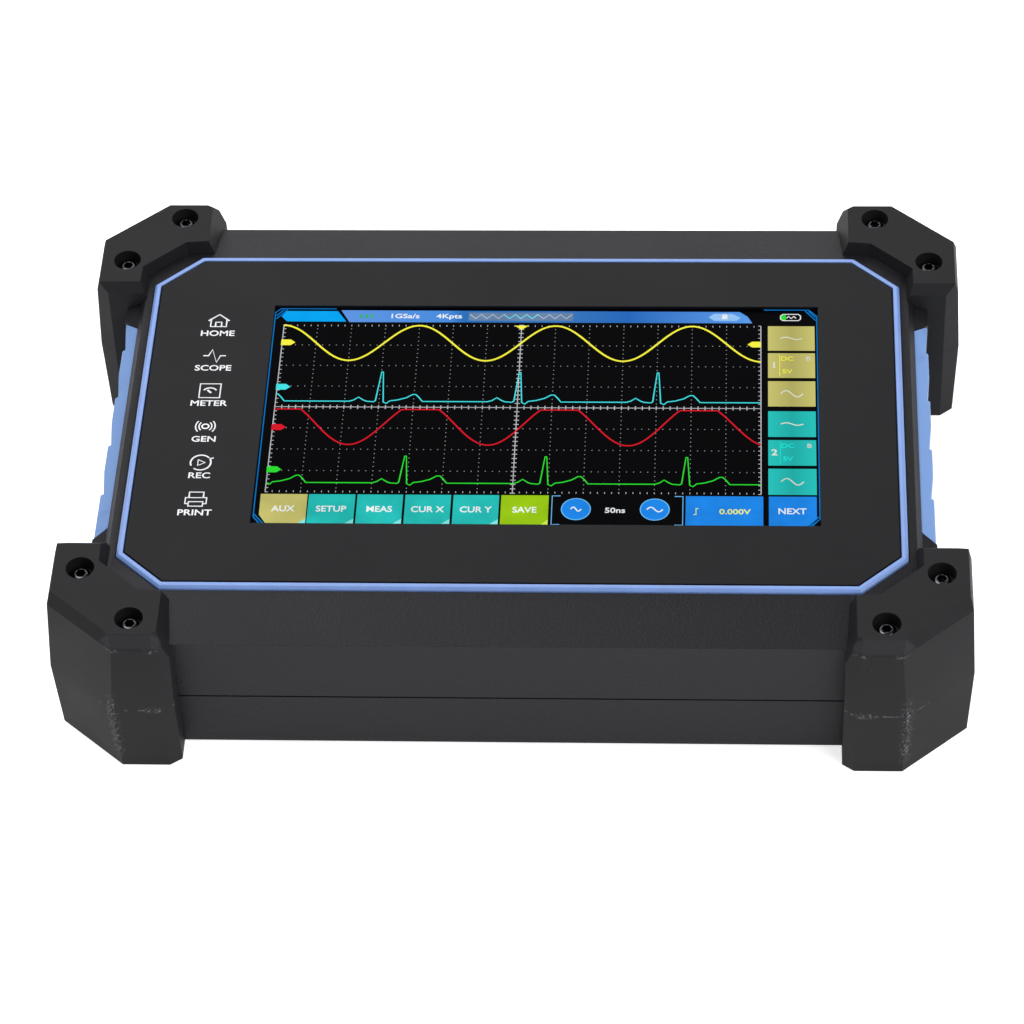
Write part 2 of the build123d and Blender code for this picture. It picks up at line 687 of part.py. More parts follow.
def rear_shell():
    """The lower shell: floor, stand pocket, battery opening, posts and its half of the bay."""
    shell = (OUTSIDE - INSIDE) & LOWER
    shell += pocket_block(WALL, POCKET_TOP + WALL) & INSIDE
    shell += hinge_blocks()
    shell += (bay_block(BAY_WALL, BAY_INNER_Y, CASE_HALF_Y) & LOWER)
    shell -= bay_block(0, BAY_INNER_Y - 1, REACH)
    shell -= bay_groove()
    floor = CASE_BOTTOM + WALL
    for post in shell_posts(CASE_BOTTOM + 1, PARTING_Z + PARTING_GAP / 2):
        shell += post
    for x, y in BOARD_SCREWS:
        shell += rod_z(x, y, floor - POST_SINK, BOARD_Z, POST_R)
        shell -= rod_z(x, y, BOARD_Z - BOARD_SCREW_REACH, BOARD_Z, SCREW_R)
    for x, y in door_screw_places():
        shell += rod_z(x, y, CASE_BOTTOM + DOOR_THICK, floor + DOOR_SCREW_REACH + 1, SCREW_HEAD_R)
    shell -= pocket_block(0, POCKET_TOP)
    for side in (-1, 1):
        x0 = side * STAND_HALF_X
        x1 = side * (STAND_HALF_X + STAND_GAP + HINGE_PIN_OUT)
        shell -= rod_x(HINGE_Y, HINGE_Z, min(x0, x1), max(x0, x1), HINGE_PIN_R + HINGE_PIN_CLEARANCE)
    shell -= battery_door_block(FIT_GAP, 0, CASE_BOTTOM + DOOR_THICK)
    half_x = BATTERY_HALF_X + BATTERY_GAP
    half_y = BATTERY_HALF_Y + BATTERY_GAP
    shell -= block(BATTERY_X - half_x, BATTERY_X + half_x, -half_y, half_y, 0, floor + 1)
    for x, y in door_screw_places():
        shell -= rod_z(x, y, 0, floor + DOOR_SCREW_REACH, SCREW_R)
    for x, y in SHELL_SCREWS:
        shell -= rod_z(x, y, 0, CASE_BOTTOM + HEAD_GAP + SCREW_HEAD_HEIGHT, SCREW_HEAD_R + HEAD_GAP)
        shell -= rod_z(x, y, 0, PARTING_Z + PARTING_GAP, SCREW_R)
    for x in VENT_XS:
        shell -= block(x - VENT_HALF_X, x + VENT_HALF_X, -VENT_HALF_Y, VENT_HALF_Y, 0, floor + 1)
    for turn in range(SOUND_HOLES):
        angle = radians(360 / SOUND_HOLES * turn)
        x = BUZZER[0] + SOUND_HOLE_RING * cos(angle)
        y = BUZZER[1] + SOUND_HOLE_RING * sin(angle)
        shell -= rod_z(x, y, 0, floor + 1, SOUND_HOLE_R)
    return shell - bumper_screw_holes()


def hinge_blocks():
    """Solid ends beside the pocket that hold the stand's pins."""
    inner = STAND_HALF_X + STAND_GAP
    outer = inner + HINGE_PIN_OUT + HINGE_CHEEK
    arm = HINGE_PIN_R + HINGE_ARM
    right = block(inner, outer, HINGE_Y - arm, HINGE_Y + arm, CASE_BOTTOM, POCKET_TOP + WALL)
    return right + mirror(right, Plane.YZ)


def shell_seal():
    """The thin seal in the parting gap, set back from the outer face."""
    band = case_body(SEAL_INSET, CASE_BOTTOM, CASE_TOP) - INSIDE
    band -= bay_block(BAY_WALL + FIT_GAP, BAY_INNER_Y - 1, REACH)
    band &= block(-REACH, REACH, -REACH, REACH, PARTING_Z - PARTING_GAP / 2, PARTING_Z + PARTING_GAP / 2)
    for post in shell_posts(0, REACH):
        band -= post
    return band - bumper_screw_holes()


def shell_screws():
    """The long screws that close the case from below."""
    head = CASE_BOTTOM + HEAD_GAP
    return [cap_screw(x, y, head, SHELL_SCREW_END - SCREW_END_GAP, 1) for x, y in SHELL_SCREWS]


def bumper_block():
    """The outer form shared by the four bumpers, stacked from level to level."""
    body = None
    for low, high in zip(BUMPER_LEVELS[:-1], BUMPER_LEVELS[1:]):
        faces = []
        for z, out_x, out_y, cut_x, cut_y in (low[:5], high[:5]):
            corners = octagon(CASE_HALF_X + out_x, CASE_HALF_Y + out_y, cut_x, cut_y)
            outline = [(x, y, z) for x, y in corners]
            faces.append(make_face(Polyline(*outline, close=True)))
        step = loft(faces, ruled=True)
        body = step if body is None else body + step
    return body


def bumper_pocket():
    """The drafted opening between the bumpers' upper walls."""
    faces = []
    for share, z in ((0.0, BUMPER_DRAFT_Z), (1.0, BUMPER_TOP), (1.0, BUMPER_TOP + 1)):
        corners = [(x0 + (x1 - x0) * share, y0 + (y1 - y0) * share)
                   for (x0, y0), (x1, y1) in zip(BUMPER_INNER, BUMPER_INNER_TOP)]
        right = [(corners[0][0], REACH)] + corners
        right += [(x, -y) for x, y in reversed(right)]
        outline = right + [(-x, y) for x, y in reversed(right)]
        faces.append(Pos(0, 0, z) * make_face(Polyline(*outline, close=True)))
    drafted = loft(faces[:2], ruled=True)
    return drafted + loft(faces[1:], ruled=True)


def arm_end_cut():
    """The room beyond the side arm: its leaning end, the chamfer at its top, and its cut outer corner."""
    lean = ARM_END_LEAN / BUMPER_TOP
    top = BUMPER_TOP - ARM_END_CHAMFER
    profile_points = [(-ARM_END_Y, -1), (ARM_END_Y - lean, -1), (ARM_END_Y + lean * top, top),
                      (ARM_END_Y + lean * top + 2 * ARM_END_CHAMFER, top + 2 * ARM_END_CHAMFER),
                      (-ARM_END_Y, top + 2 * ARM_END_CHAMFER)]
    straight = along_x(profile_points, REACH)
    x0 = CASE_HALF_X + ARM_END_CORNER_OUT
    corner_y = ARM_END_Y + (REACH - x0) * ARM_END_CORNER_SLOPE
    corner = [(x0, 0), (REACH, 0), (REACH, corner_y), (x0, ARM_END_Y)]
    face = Pos(0, -lean, -1) * make_face(Polyline(*corner, close=True))
    rise = Vector(0, ARM_END_LEAN, BUMPER_TOP)
    return straight + extrude(face, 2 * rise.length, dir=rise.normalized())


def arm_corner_cut():
    """The upright chamfer on the corner of the front arm's inner end, level by level."""
    cut = None
    triangles = []
    for level in BUMPER_LEVELS:
        z, half_y = level[0], CASE_HALF_Y + level[2]
        end_inset, end_cut_x, end_cut_y = level[5:]
        end_x = CASE_HALF_X - end_inset
        start = (end_x - end_cut_x, half_y - 2 * end_cut_y)
        finish = (end_x + 2 * end_cut_x, half_y + end_cut_y)
        outline = [(x, y, z) for x, y in (start, finish, (start[0], finish[1]))]
        triangles.append(make_face(Polyline(*outline, close=True)))
    for low, high in zip(triangles[:-1], triangles[1:]):
        step = loft([low, high], ruled=True)
        cut = step if cut is None else cut + step
    return cut


def bumper_screw_bores():
    """The stepped holes for the two bumper screws of one corner."""
    bores = []
    for x, y in BUMPER_SCREWS:
        bores.append(rod_z(x, y, BUMPER_SCREW_SEAT, REACH, BUMPER_SCREW_BORE))
        bores.append(rod_z(x, y, LUG_TOP - 1, BUMPER_SCREW_SEAT, BUMPER_SCREW_SHANK))
    return bores


def bumper():
    """The right far bumper: a rubber corner that wraps top, sides and foot."""
    body = bumper_block() & bumper_plan(0, BUMPER_TOP)
    body -= bumper_pocket()
    body -= arm_end_cut()
    body -= arm_corner_cut()
    body -= OUTSIDE
    for bore in bumper_screw_bores():
        body -= bore
    return body


def bumper_screw(x, y):
    """A round-headed screw with a hexagon socket, sunk in a bumper."""
    top = BUMPER_SCREW_SEAT + BUMPER_SCREW_HEAD_HEIGHT
    head = rod_z(x, y, BUMPER_SCREW_SEAT, top, BUMPER_SCREW_HEAD)
    head = fillet(head.edges().group_by(Axis.Z)[-1], BUMPER_SCREW_DOME)
    socket = RegularPolygon(HEX_FLAT / 2, 6, major_radius=False)
    head -= Pos(x, y, top - HEX_DEPTH) * extrude(socket, 2 * HEX_DEPTH)
    return head + rod_z(x, y, BUMPER_SCREW_END + SCREW_END_GAP, BUMPER_SCREW_SEAT, BUMPER_SCREW_SHANK)


def quarters(shape):
    """One shape in each quarter: right far, left far, right near, left near."""
    left = mirror(shape, Plane.YZ)
    return shape, left, mirror(shape, Plane.XZ), mirror(left, Plane.XZ)


def side_grip():
    """The right grip: a bar let into the side, with a saw-tooth outer face."""
    bar = grip_bar(0)
    out = GRIP_OUTER_X
    for index in range(SCALLOP_COUNT):
        step = SCALLOP_START + index * SCALLOP_PITCH
        half = SCALLOP_PITCH / 2
        tooth = [(out + 1, step), (out - SCALLOP_DEPTH, step), (out, step + half), (out + 1, step + half)]
        bar -= prism(tooth, 0, BUMPER_TOP)
    return bar


def grip_screws(side):
    """The screws that hold a grip from inside the front shell."""
    screws = []
    for y in GRIP_SCREW_YS:
        inner = CASE_HALF_X - WALL
        head = rod_x(y, GRIP_SCREW_Z, inner - GRIP_SCREW_HEAD_HEIGHT, inner, SCREW_HEAD_R)
        shank = rod_x(y, GRIP_SCREW_Z, inner, CASE_HALF_X + GRIP_SCREW_REACH, SCREW_R)
        screws.append(head + shank)
    return [screw if side > 0 else mirror(screw, Plane.YZ) for screw in screws]


def grip_screw_bores():
    """The holes for the grip screws on the right side."""
    inner = CASE_HALF_X - WALL - 1
    return [rod_x(y, GRIP_SCREW_Z, inner, CASE_HALF_X + GRIP_SCREW_REACH, SCREW_R) for y in GRIP_SCREW_YS]


def connector_plate():
    """The plate in the bay with a hole for every connector."""
    plate = bay_block(PLATE_EDGE, PLATE_OUTER_Y - PLATE_THICK, PLATE_OUTER_Y)
    for x in COAX_XS:
        plate -= rod_y(x, CONNECTOR_Z, 0, REACH, COAX_R)
    for x in METER_XS:
        plate -= rod_y(x, CONNECTOR_Z, 0, REACH, METER_BODY_R)
    for (width, height), z in ((HOST_PORT, HOST_PORT_Z), (DEVICE_PORT, DEVICE_PORT_Z)):
        plate -= block(PORT_X - width / 2, PORT_X + width / 2, 0, REACH, z - height / 2, z + height / 2)
    plate -= rod_y(POWER_X, BUTTON_Z, 0, REACH, BUTTON_R + BUTTON_CLEARANCE)
    return plate - rod_y(POWER_X, INLET_Z, 0, REACH, INLET_HOLE_R)


def coax_body(x):
    """A bayonet coaxial socket: barrel with a nose and two lugs, and a round block behind the plate."""
    inner = PLATE_OUTER_Y - PLATE_THICK
    tip = PLATE_OUTER_Y + COAX_LENGTH
    lug_end = COAX_R + COAX_LUG_OUT
    body = rod_y(x, CONNECTOR_Z, inner - 1, tip - COAX_NOSE_LENGTH, COAX_R)
    body += rod_y(x, CONNECTOR_Z, tip - COAX_NOSE_LENGTH, tip, COAX_NOSE_R)
    body += rod_y(x, CONNECTOR_Z, inner - COAX_BLOCK, inner, COAX_R + COAX_BLOCK_STEP)
    body += rod_z(x, tip - COAX_LUG_BACK, CONNECTOR_Z - lug_end, CONNECTOR_Z + lug_end, COAX_LUG_R)
    body -= rod_y(x, CONNECTOR_Z, tip - COAX_BORE_DEPTH, tip + 1, COAX_BORE_R)
    return body - rod_y(x, CONNECTOR_Z, inner - COAX_BLOCK - 1, tip, COAX_CORE_R)


def coax_insulator(x):
    """The white core of a coaxial socket."""
    inner = PLATE_OUTER_Y - PLATE_THICK
    tip = PLATE_OUTER_Y + COAX_LENGTH
    core = rod_y(x, CONNECTOR_Z, inner - COAX_BLOCK, tip - COAX_CORE_SET_BACK, COAX_CORE_R)
    return core - rod_y(x, CONNECTOR_Z, 0, REACH, COAX_PIN_R)


def coax_contact(x):
    """The centre contact of a coaxial socket, with its tail."""
    inner = PLATE_OUTER_Y - PLATE_THICK
    tip = PLATE_OUTER_Y + COAX_LENGTH
    end = tip - COAX_CORE_SET_BACK - FIT_GAP
    pin = rod_y(x, CONNECTOR_Z, inner - COAX_BLOCK - COAX_TAIL, end, COAX_PIN_R)
    return pin - rod_y(x, CONNECTOR_Z, end - COAX_PIN_DEPTH, tip, COAX_PIN_BORE_R)


def coax_nut(x):
    """The hexagon nut that clamps a coaxial socket to the plate."""
    face = RegularPolygon(COAX_NUT_FLAT / 2, 6, major_radius=False)
    nut = Pos(x, PLATE_OUTER_Y + COAX_NUT_THICK, CONNECTOR_Z) * Rot(90, 0, 0) * extrude(face, COAX_NUT_THICK)
    return nut - rod_y(x, CONNECTOR_Z, 0, REACH, COAX_R)


def meter_socket(x):
    """A shrouded meter socket: flange, tube and inner core around the contact."""
    inner = PLATE_OUTER_Y - METER_DEPTH
    body = rod_y(x, CONNECTOR_Z, PLATE_OUTER_Y, PLATE_OUTER_Y + METER_FLANGE_THICK, METER_FLANGE_R)
    body += rod_y(x, CONNECTOR_Z, inner, PLATE_OUTER_Y, METER_BODY_R)
    body -= rod_y(x, CONNECTOR_Z, inner + METER_FLOOR, REACH, METER_SLOT_R)
    body += rod_y(x, CONNECTOR_Z, inner, PLATE_OUTER_Y + METER_CORE_PROUD, METER_CORE_R)
    return body - rod_y(x, CONNECTOR_Z, inner - 1, REACH, METER_SLEEVE_R)


def meter_contact(x):
    """The metal sleeve that takes a 4 mm plug."""
    inner = PLATE_OUTER_Y - METER_DEPTH
    sleeve = rod_y(x, CONNECTOR_Z, inner - METER_TAIL, PLATE_OUTER_Y + METER_SLEEVE_PROUD, METER_SLEEVE_R)
    return sleeve - rod_y(x, CONNECTOR_Z, inner, REACH, METER_BORE_R)


def port_block(size, z, shrink, y0, y1):
    """The form of a data port, or its inside when it is shrunk by the wall."""
    half_x = size[0] / 2 - shrink
    half_z = size[1] / 2 - shrink
    return block(PORT_X - half_x, PORT_X + half_x, y0, y1, z - half_z, z + half_z)


def data_port(size, z):
    """The metal shell of a data port."""
    y0 = PLATE_OUTER_Y - PORT_DEPTH
    y1 = PLATE_OUTER_Y + PORT_PROUD
    return port_block(size, z, 0, y0, y1) - port_block(size, z, PORT_WALL, y0 + PORT_BACK, y1 + 1)


def port_tongues():
    """The contact tongues inside the two data ports."""
    tongues = []
    ports = ((HOST_PORT, HOST_PORT_Z), (DEVICE_PORT, DEVICE_PORT_Z))
    for ((width, height), z), share in zip(ports, TONGUE_SHARES):
        half = width / 2 - PORT_WALL - TONGUE_SIDE_GAP
        tongues.append(block(PORT_X - half, PORT_X + half, PLATE_OUTER_Y - PORT_DEPTH + PORT_BACK,
                             PLATE_OUTER_Y - TONGUE_SET_BACK, z, z + height * share))
    return tongues


def dc_inlet():
    """The body of the DC inlet."""
    width, height, depth = INLET_BODY
    inner = PLATE_OUTER_Y - PLATE_THICK
    body = block(POWER_X - width / 2, POWER_X + width / 2, inner - depth, inner,
                 INLET_Z - height / 2, INLET_Z + height / 2 - 1)
    body += rod_y(POWER_X, INLET_Z, inner - 1, PLATE_OUTER_Y, INLET_HOLE_R)
    return body - rod_y(POWER_X, INLET_Z, inner - INLET_DEPTH, REACH, INLET_BORE_R)


def dc_inlet_pin():
    """The centre pin of the DC inlet."""
    inner = PLATE_OUTER_Y - PLATE_THICK
    return rod_y(POWER_X, INLET_Z, inner - INLET_DEPTH, PLATE_OUTER_Y - INLET_PIN_SET_BACK, INLET_PIN_R)


def power_button():
    """The round push button, held behind the plate by its flange."""
    inner = PLATE_OUTER_Y - PLATE_THICK - BUTTON_PLAY
    cap = rod_y(POWER_X, BUTTON_Z, inner - BUTTON_FLANGE_THICK, PLATE_OUTER_Y + BUTTON_PROUD, BUTTON_R)
    cap = chamfer(cap.edges().group_by(Axis.Y)[-1], BUTTON_EDGE)
    return cap + rod_y(POWER_X, BUTTON_Z, inner - BUTTON_FLANGE_THICK, inner, BUTTON_R + BUTTON_FLANGE)


def power_switch():
    """The switch that the button presses, on its small carrier."""
    inner = PLATE_OUTER_Y - PLATE_THICK
    front = inner - BUTTON_PLAY - BUTTON_FLANGE_THICK - BUTTON_TRAVEL - 2 * BUTTON_PLAY
    back = front - SWITCH_THICK
    body = block(POWER_X - SWITCH_HALF, POWER_X + SWITCH_HALF, back, front, BUTTON_Z - SWITCH_HALF,
                 BUTTON_Z + SWITCH_HALF)
    half = BUTTON_R + CARRIER_EDGE
    body += block(POWER_X - half, POWER_X + half, back - BOARD_THICK, back, BUTTON_Z - half, BUTTON_Z + half)
    for side in (-1, 1):
        x = POWER_X + side * (half - CARRIER_LEG / 2)
        body += block(x - CARRIER_LEG / 2, x + CARRIER_LEG / 2, back, inner, BUTTON_Z - SWITCH_HALF,
                      BUTTON_Z + SWITCH_HALF)
    return body


def stand():
    """The fold-out stand: a ribbed plate with a hinge barrel along its far edge."""
    top = STAND_LOW + STAND_THICK
    plate = block(-STAND_HALF_X, STAND_HALF_X, STAND_FREE_Y, HINGE_Y, STAND_LOW, top)
    for side in (-1, 1):
        points = [(side * STAND_HALF_X, STAND_FREE_Y), (side * STAND_HALF_X, STAND_FREE_Y + STAND_CORNER),
                  (side * (STAND_HALF_X - STAND_CORNER), STAND_FREE_Y)]
        plate -= prism(points, 0, POCKET_TOP)
    plate += rod_x(HINGE_Y, HINGE_Z, -STAND_HALF_X, STAND_HALF_X, HINGE_BARREL_R)
    slot_half = STAND_HALF_X - STAND_SLOT_INSET
    slot_far = HINGE_Y + HINGE_BARREL_R + 1
    plate -= block(-slot_half, slot_half, HINGE_Y - STAND_SLOT_BACK, slot_far, 0, POCKET_TOP)
    rib_half = STAND_HALF_X - RIB_INSET
    for index in range(RIB_COUNT):
        y = STAND_FREE_Y + RIB_START + index * RIB_PITCH
        plate -= block(-rib_half, rib_half, y, y + RIB_WIDTH, STAND_LOW - 1, STAND_LOW + RIB_DEPTH)
    plate -= foot_strip()
    for pin in stand_pins():
        plate -= pin
    return plate


def foot_strip():
    """The rubber strip under the stand's free edge."""
    y0 = STAND_FREE_Y + FOOT_STRIP_SETBACK
    return block(-FOOT_STRIP_HALF_X, FOOT_STRIP_HALF_X, y0, y0 + FOOT_STRIP_WIDTH,
                 STAND_LOW - FOOT_STRIP_PROUD, STAND_LOW + FOOT_STRIP_SINK)


def stand_pins():
    """The two hinge pins, pressed into the stand and turning in the shell."""
    x0 = STAND_HALF_X - HINGE_PIN_IN
    x1 = STAND_HALF_X + STAND_GAP + HINGE_PIN_OUT - PIN_END_GAP
    return [rod_x(HINGE_Y, HINGE_Z, x0, x1, HINGE_PIN_R), rod_x(HINGE_Y, HINGE_Z, -x1, -x0, HINGE_PIN_R)]


def battery_door_block(grow, z0, z1):
    """The battery door, or its seat when it is grown."""
    return block(BATTERY_X - DOOR_HALF_X - grow, BATTERY_X + DOOR_HALF_X + grow, -DOOR_HALF_Y - grow,
                 DOOR_HALF_Y + grow, z0, z1)


def door_screw_places():
    """The places of the battery door's screws."""
    return [(BATTERY_X + sx * DOOR_SCREW_DX, sy * DOOR_SCREW_Y) for sx in (-1, 1) for sy in (-1, 1)]


def battery_door():
    """The battery door, flush with the floor, with a sunk hole for each screw."""
    door = battery_door_block(0, CASE_BOTTOM, CASE_BOTTOM + DOOR_THICK)
    for x, y in door_screw_places():
        door -= rod_z(x, y, 0, REACH, SCREW_R)
        door -= rod_z(x, y, 0, CASE_BOTTOM + DOOR_SCREW_SINK, DOOR_SCREW_HEAD + HEAD_GAP)
    return door


def battery_door_screws():
    """The flat-headed screws, sunk in the battery door."""
    screws = []
    low = CASE_BOTTOM + FIT_GAP
    seat = CASE_BOTTOM + DOOR_SCREW_SINK
    for x, y in door_screw_places():
        head = rod_z(x, y, low, seat, DOOR_SCREW_HEAD)
        arm = DOOR_SCREW_HEAD - 2 * DOOR_SCREW_SLOT
        slot = block(x - arm, x + arm, y - DOOR_SCREW_SLOT, y + DOOR_SCREW_SLOT, 0, low + DOOR_SCREW_SLOT)
        shank = rod_z(x, y, seat, CASE_BOTTOM + WALL + DOOR_SCREW_REACH - SCREW_END_GAP, SCREW_R)
        screws.append(head - slot - turned(slot, x, y, 90) + shank)
    return screws


def battery_pack():
    """Two wrapped cells side by side, resting on the door."""
    low = CASE_BOTTOM + DOOR_THICK
    pack = block(BATTERY_X - BATTERY_HALF_X, BATTERY_X + BATTERY_HALF_X, -BATTERY_HALF_Y, BATTERY_HALF_Y,
                 low, low + BATTERY_THICK)
    return fillet(pack.edges().filter_by(Axis.Y), BATTERY_EDGE)


def main_board():
    """The main circuit board with its screw holes."""
    board = block(-BOARD_HALF_X, BOARD_HALF_X, -BOARD_HALF_Y, BOARD_HALF_Y, BOARD_Z, BOARD_Z + BOARD_THICK)
    for x, y in BOARD_SCREWS:
        board -= rod_z(x, y, 0, REACH, SCREW_R)
    return board


def main_board_screws():
    """The screws that hold the main board to its posts."""
    top = BOARD_Z + BOARD_THICK + SCREW_HEAD_HEIGHT
    end = BOARD_Z - BOARD_SCREW_REACH + SCREW_END_GAP
    return [cap_screw(x, y, top, end, -1) for x, y in BOARD_SCREWS]


def input_shields():
    """The screening cans behind the coaxial sockets."""
    low = BOARD_Z + BOARD_THICK
    y0, y1 = SHIELD_Y
    half = SHIELD_HALF_X - SHIELD_WALL
    cans = []
    for x in COAX_XS:
        can = block(x - SHIELD_HALF_X, x + SHIELD_HALF_X, y0, y1, low, low + SHIELD_HEIGHT)
        cans.append(can - block(x - half, x + half, y0 + SHIELD_WALL, y1 - SHIELD_WALL, low - 1,
                                low + SHIELD_HEIGHT - SHIELD_WALL))
    return cans


def processor():
    """The main processor chip."""
    low = BOARD_Z + BOARD_THICK
    return block(*CHIP, low, low + CHIP_THICK)


def heat_spreader():
    """The finned aluminium plate on the processor."""
    low = BOARD_Z + BOARD_THICK + CHIP_THICK
    fin_low = low + SPREADER_THICK
    plate = block(*SPREADER, low, fin_low)
    x0, x1, y0, y1 = SPREADER
    pitch = (x1 - x0 - FIN_THICK) / (FIN_COUNT - 1)
    for index in range(FIN_COUNT):
        x = x0 + pitch * index
        plate += block(x, x + FIN_THICK, y0, y1, fin_low, fin_low + FIN_HEIGHT)
    return plate


def memory_chips():
    """Four memory chips in a row."""
    low = BOARD_Z + BOARD_THICK
    return [block(*MEMORY_X, y, y + MEMORY_LENGTH, low, low + MEMORY_THICK) for y in MEMORY_YS]


def meter_board():
    """The meter's own board, hung under the main board."""
    return block(*METER_BOARD, METER_BOARD_Z, METER_BOARD_Z + BOARD_THICK)


def meter_board_spacers():
    """The spacers between the meter board and the main board."""
    x0, x1, y0, y1 = METER_BOARD
    low = METER_BOARD_Z + BOARD_THICK
    columns = (x0 + SPACER_INSET, x1 - SPACER_INSET)
    rows = (y0 + SPACER_INSET, y1 - SPACER_INSET)
    return [rod_z(x, y, low, BOARD_Z, SPACER_R) for x in columns for y in rows]


def meter_fuses():
    """The two fuses of the current ranges."""
    centre = METER_BOARD_Z + BOARD_THICK + FUSE_R
    return [rod_x(y, centre, *FUSE_X, FUSE_R) for y in FUSE_YS]


def buzzer():
    """The buzzer over its sound holes."""
    low = CASE_BOTTOM + WALL
    body = rod_z(*BUZZER, low, low + BUZZER_THICK, BUZZER_R)
    return body - rod_z(*BUZZER, low - 1, low + BUZZER_THICK - BUZZER_WALL, BUZZER_R - BUZZER_WALL)


def keep(name, shape):
    """Remember a piece, or a group of equal pieces, under its node name."""
    PARTS[name] = Compound(children=list(shape)) if isinstance(shape, (list, tuple)) else shape


def build():
    """Make every piece."""
    front = front_shell()
    bores = grip_screw_bores()
    grip = side_grip()
    for bore in bores:
        front = front - bore - mirror(bore, Plane.YZ)
        grip -= bore
    keep("front_shell", front)
    keep("rear_shell", rear_shell())
    keep("shell_seal", shell_seal())
    keep("shell_screws", shell_screws())
    keep("front_panel", front_panel())
    keep("trim_ring", trim_ring())
    keep("touch_glass", touch_glass())
    keep("touch_key_board", key_board_block(0, CASE_TOP))
    keep("display_gasket", display_gasket())
    keep("display_module", display_module())
    keep("display_bracket", display_bracket())
    keep("display_screws", display_screws())
    keep("display_cable", display_cable())
    names = ("right_far", "left_far", "right_near", "left_near")
    for name, piece in zip(names, quarters(bumper())):
        keep("bumper_" + name, piece)
    keep("bumper_screws", [piece for x, y in BUMPER_SCREWS for piece in quarters(bumper_screw(x, y))])
    keep("side_grip_right", grip)
    keep("side_grip_left", mirror(grip, Plane.YZ))
    keep("side_grip_screws", grip_screws(1) + grip_screws(-1))
    keep("connector_plate", connector_plate())
    for name, x in zip(COAX_NAMES, COAX_XS):
        keep("coax_socket_" + name, coax_body(x))
    keep("coax_insulators", [coax_insulator(x) for x in COAX_XS])
    keep("coax_contacts", [coax_contact(x) for x in COAX_XS])
    keep("coax_nuts", [coax_nut(x) for x in COAX_XS])
    keep("meter_socket_common", meter_socket(METER_XS[METER_COMMON]))
    live = [x for index, x in enumerate(METER_XS) if index != METER_COMMON]
    keep("meter_sockets_live", [meter_socket(x) for x in live])
    keep("meter_contacts", [meter_contact(x) for x in METER_XS])
    keep("host_port", data_port(HOST_PORT, HOST_PORT_Z))
    keep("device_port", data_port(DEVICE_PORT, DEVICE_PORT_Z))
    keep("port_tongues", port_tongues())
    keep("dc_inlet", dc_inlet())
    keep("dc_inlet_pin", dc_inlet_pin())
    keep("power_button", power_button())
    keep("power_switch", power_switch())
    keep("stand", stand())
    keep("stand_foot_strip", foot_strip())
    keep("stand_pins", stand_pins())
    keep("battery_door", battery_door())
    keep("battery_door_screws", battery_door_screws())
    keep("battery_pack", battery_pack())
    keep("main_board", main_board())
    keep("main_board_screws", main_board_screws())
    keep("input_shields", input_shields())
    keep("processor", processor())
    keep("heat_spreader", heat_spreader())
    keep("memory_chips", memory_chips())
    keep("meter_board", meter_board())
    keep("meter_board_spacers", meter_board_spacers())
    keep("meter_fuses", meter_fuses())
    keep("buzzer", buzzer())


build()
os.makedirs("parts", exist_ok=True)
for node, shape in PARTS.items():
    export_step(shape, "parts/" + node + ".step")
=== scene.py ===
from math import cos, pi, radians, sin

import bmesh
import bpy
from mathutils import Matrix, Vector


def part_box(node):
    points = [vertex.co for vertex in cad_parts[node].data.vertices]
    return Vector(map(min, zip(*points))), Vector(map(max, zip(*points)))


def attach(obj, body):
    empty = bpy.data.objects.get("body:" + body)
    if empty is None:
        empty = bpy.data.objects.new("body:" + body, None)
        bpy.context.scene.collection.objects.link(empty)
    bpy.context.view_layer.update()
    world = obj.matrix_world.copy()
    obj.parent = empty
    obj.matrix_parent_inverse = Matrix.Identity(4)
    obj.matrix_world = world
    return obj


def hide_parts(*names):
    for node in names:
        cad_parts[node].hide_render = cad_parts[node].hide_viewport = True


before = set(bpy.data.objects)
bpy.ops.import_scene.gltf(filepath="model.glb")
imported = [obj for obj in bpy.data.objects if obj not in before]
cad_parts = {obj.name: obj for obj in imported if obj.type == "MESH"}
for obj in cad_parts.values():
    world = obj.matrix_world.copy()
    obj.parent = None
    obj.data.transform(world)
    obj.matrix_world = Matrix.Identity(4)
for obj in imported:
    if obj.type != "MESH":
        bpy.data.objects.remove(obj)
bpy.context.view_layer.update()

# ---- places taken from the frame ----
MM = 0.001
_, PANEL_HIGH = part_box("front_panel")
GLASS_LOW, GLASS_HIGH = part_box("touch_glass")
KEYS_LOW, KEYS_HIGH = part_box("touch_key_board")
_, PLATE_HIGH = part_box("connector_plate")
_, BUMPER_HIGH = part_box("bumper_right_near")
BUMPER_TOP = BUMPER_HIGH.z / MM
SCREEN_X = (GLASS_LOW.x + GLASS_HIGH.x) / 2 / MM
SCREEN_Y = (GLASS_LOW.y + GLASS_HIGH.y) / 2 / MM
KEY_X = (KEYS_LOW.x + KEYS_HIGH.x) / 2 / MM

# ---- measures of the art, in millimetres ----
ART_THICK = 0.04
CAPITAL_SHARE = 0.72    # height of a capital letter, as a share of the font's size
GRID_LEFT = SCREEN_X - 79.1
GRID_RIGHT = SCREEN_X + 65.2
GRID_TOP = SCREEN_Y + 37.9
GRID_BOTTOM = SCREEN_Y - 31.7
COLUMNS = 14
ROWS = 8
DIVISION_X = (GRID_RIGHT - GRID_LEFT) / COLUMNS
DIVISION_Y = (GRID_TOP - GRID_BOTTOM) / ROWS
MIDDLE_X = (GRID_LEFT + GRID_RIGHT) / 2
MIDDLE_Y = (GRID_TOP + GRID_BOTTOM) / 2
PERIOD = 4 * DIVISION_X
OUTLINE = (SCREEN_X - 82.1, SCREEN_X + 82.1, SCREEN_Y - 44.8, SCREEN_Y + 44.8)
BAR_TOP = SCREEN_Y + 43.8
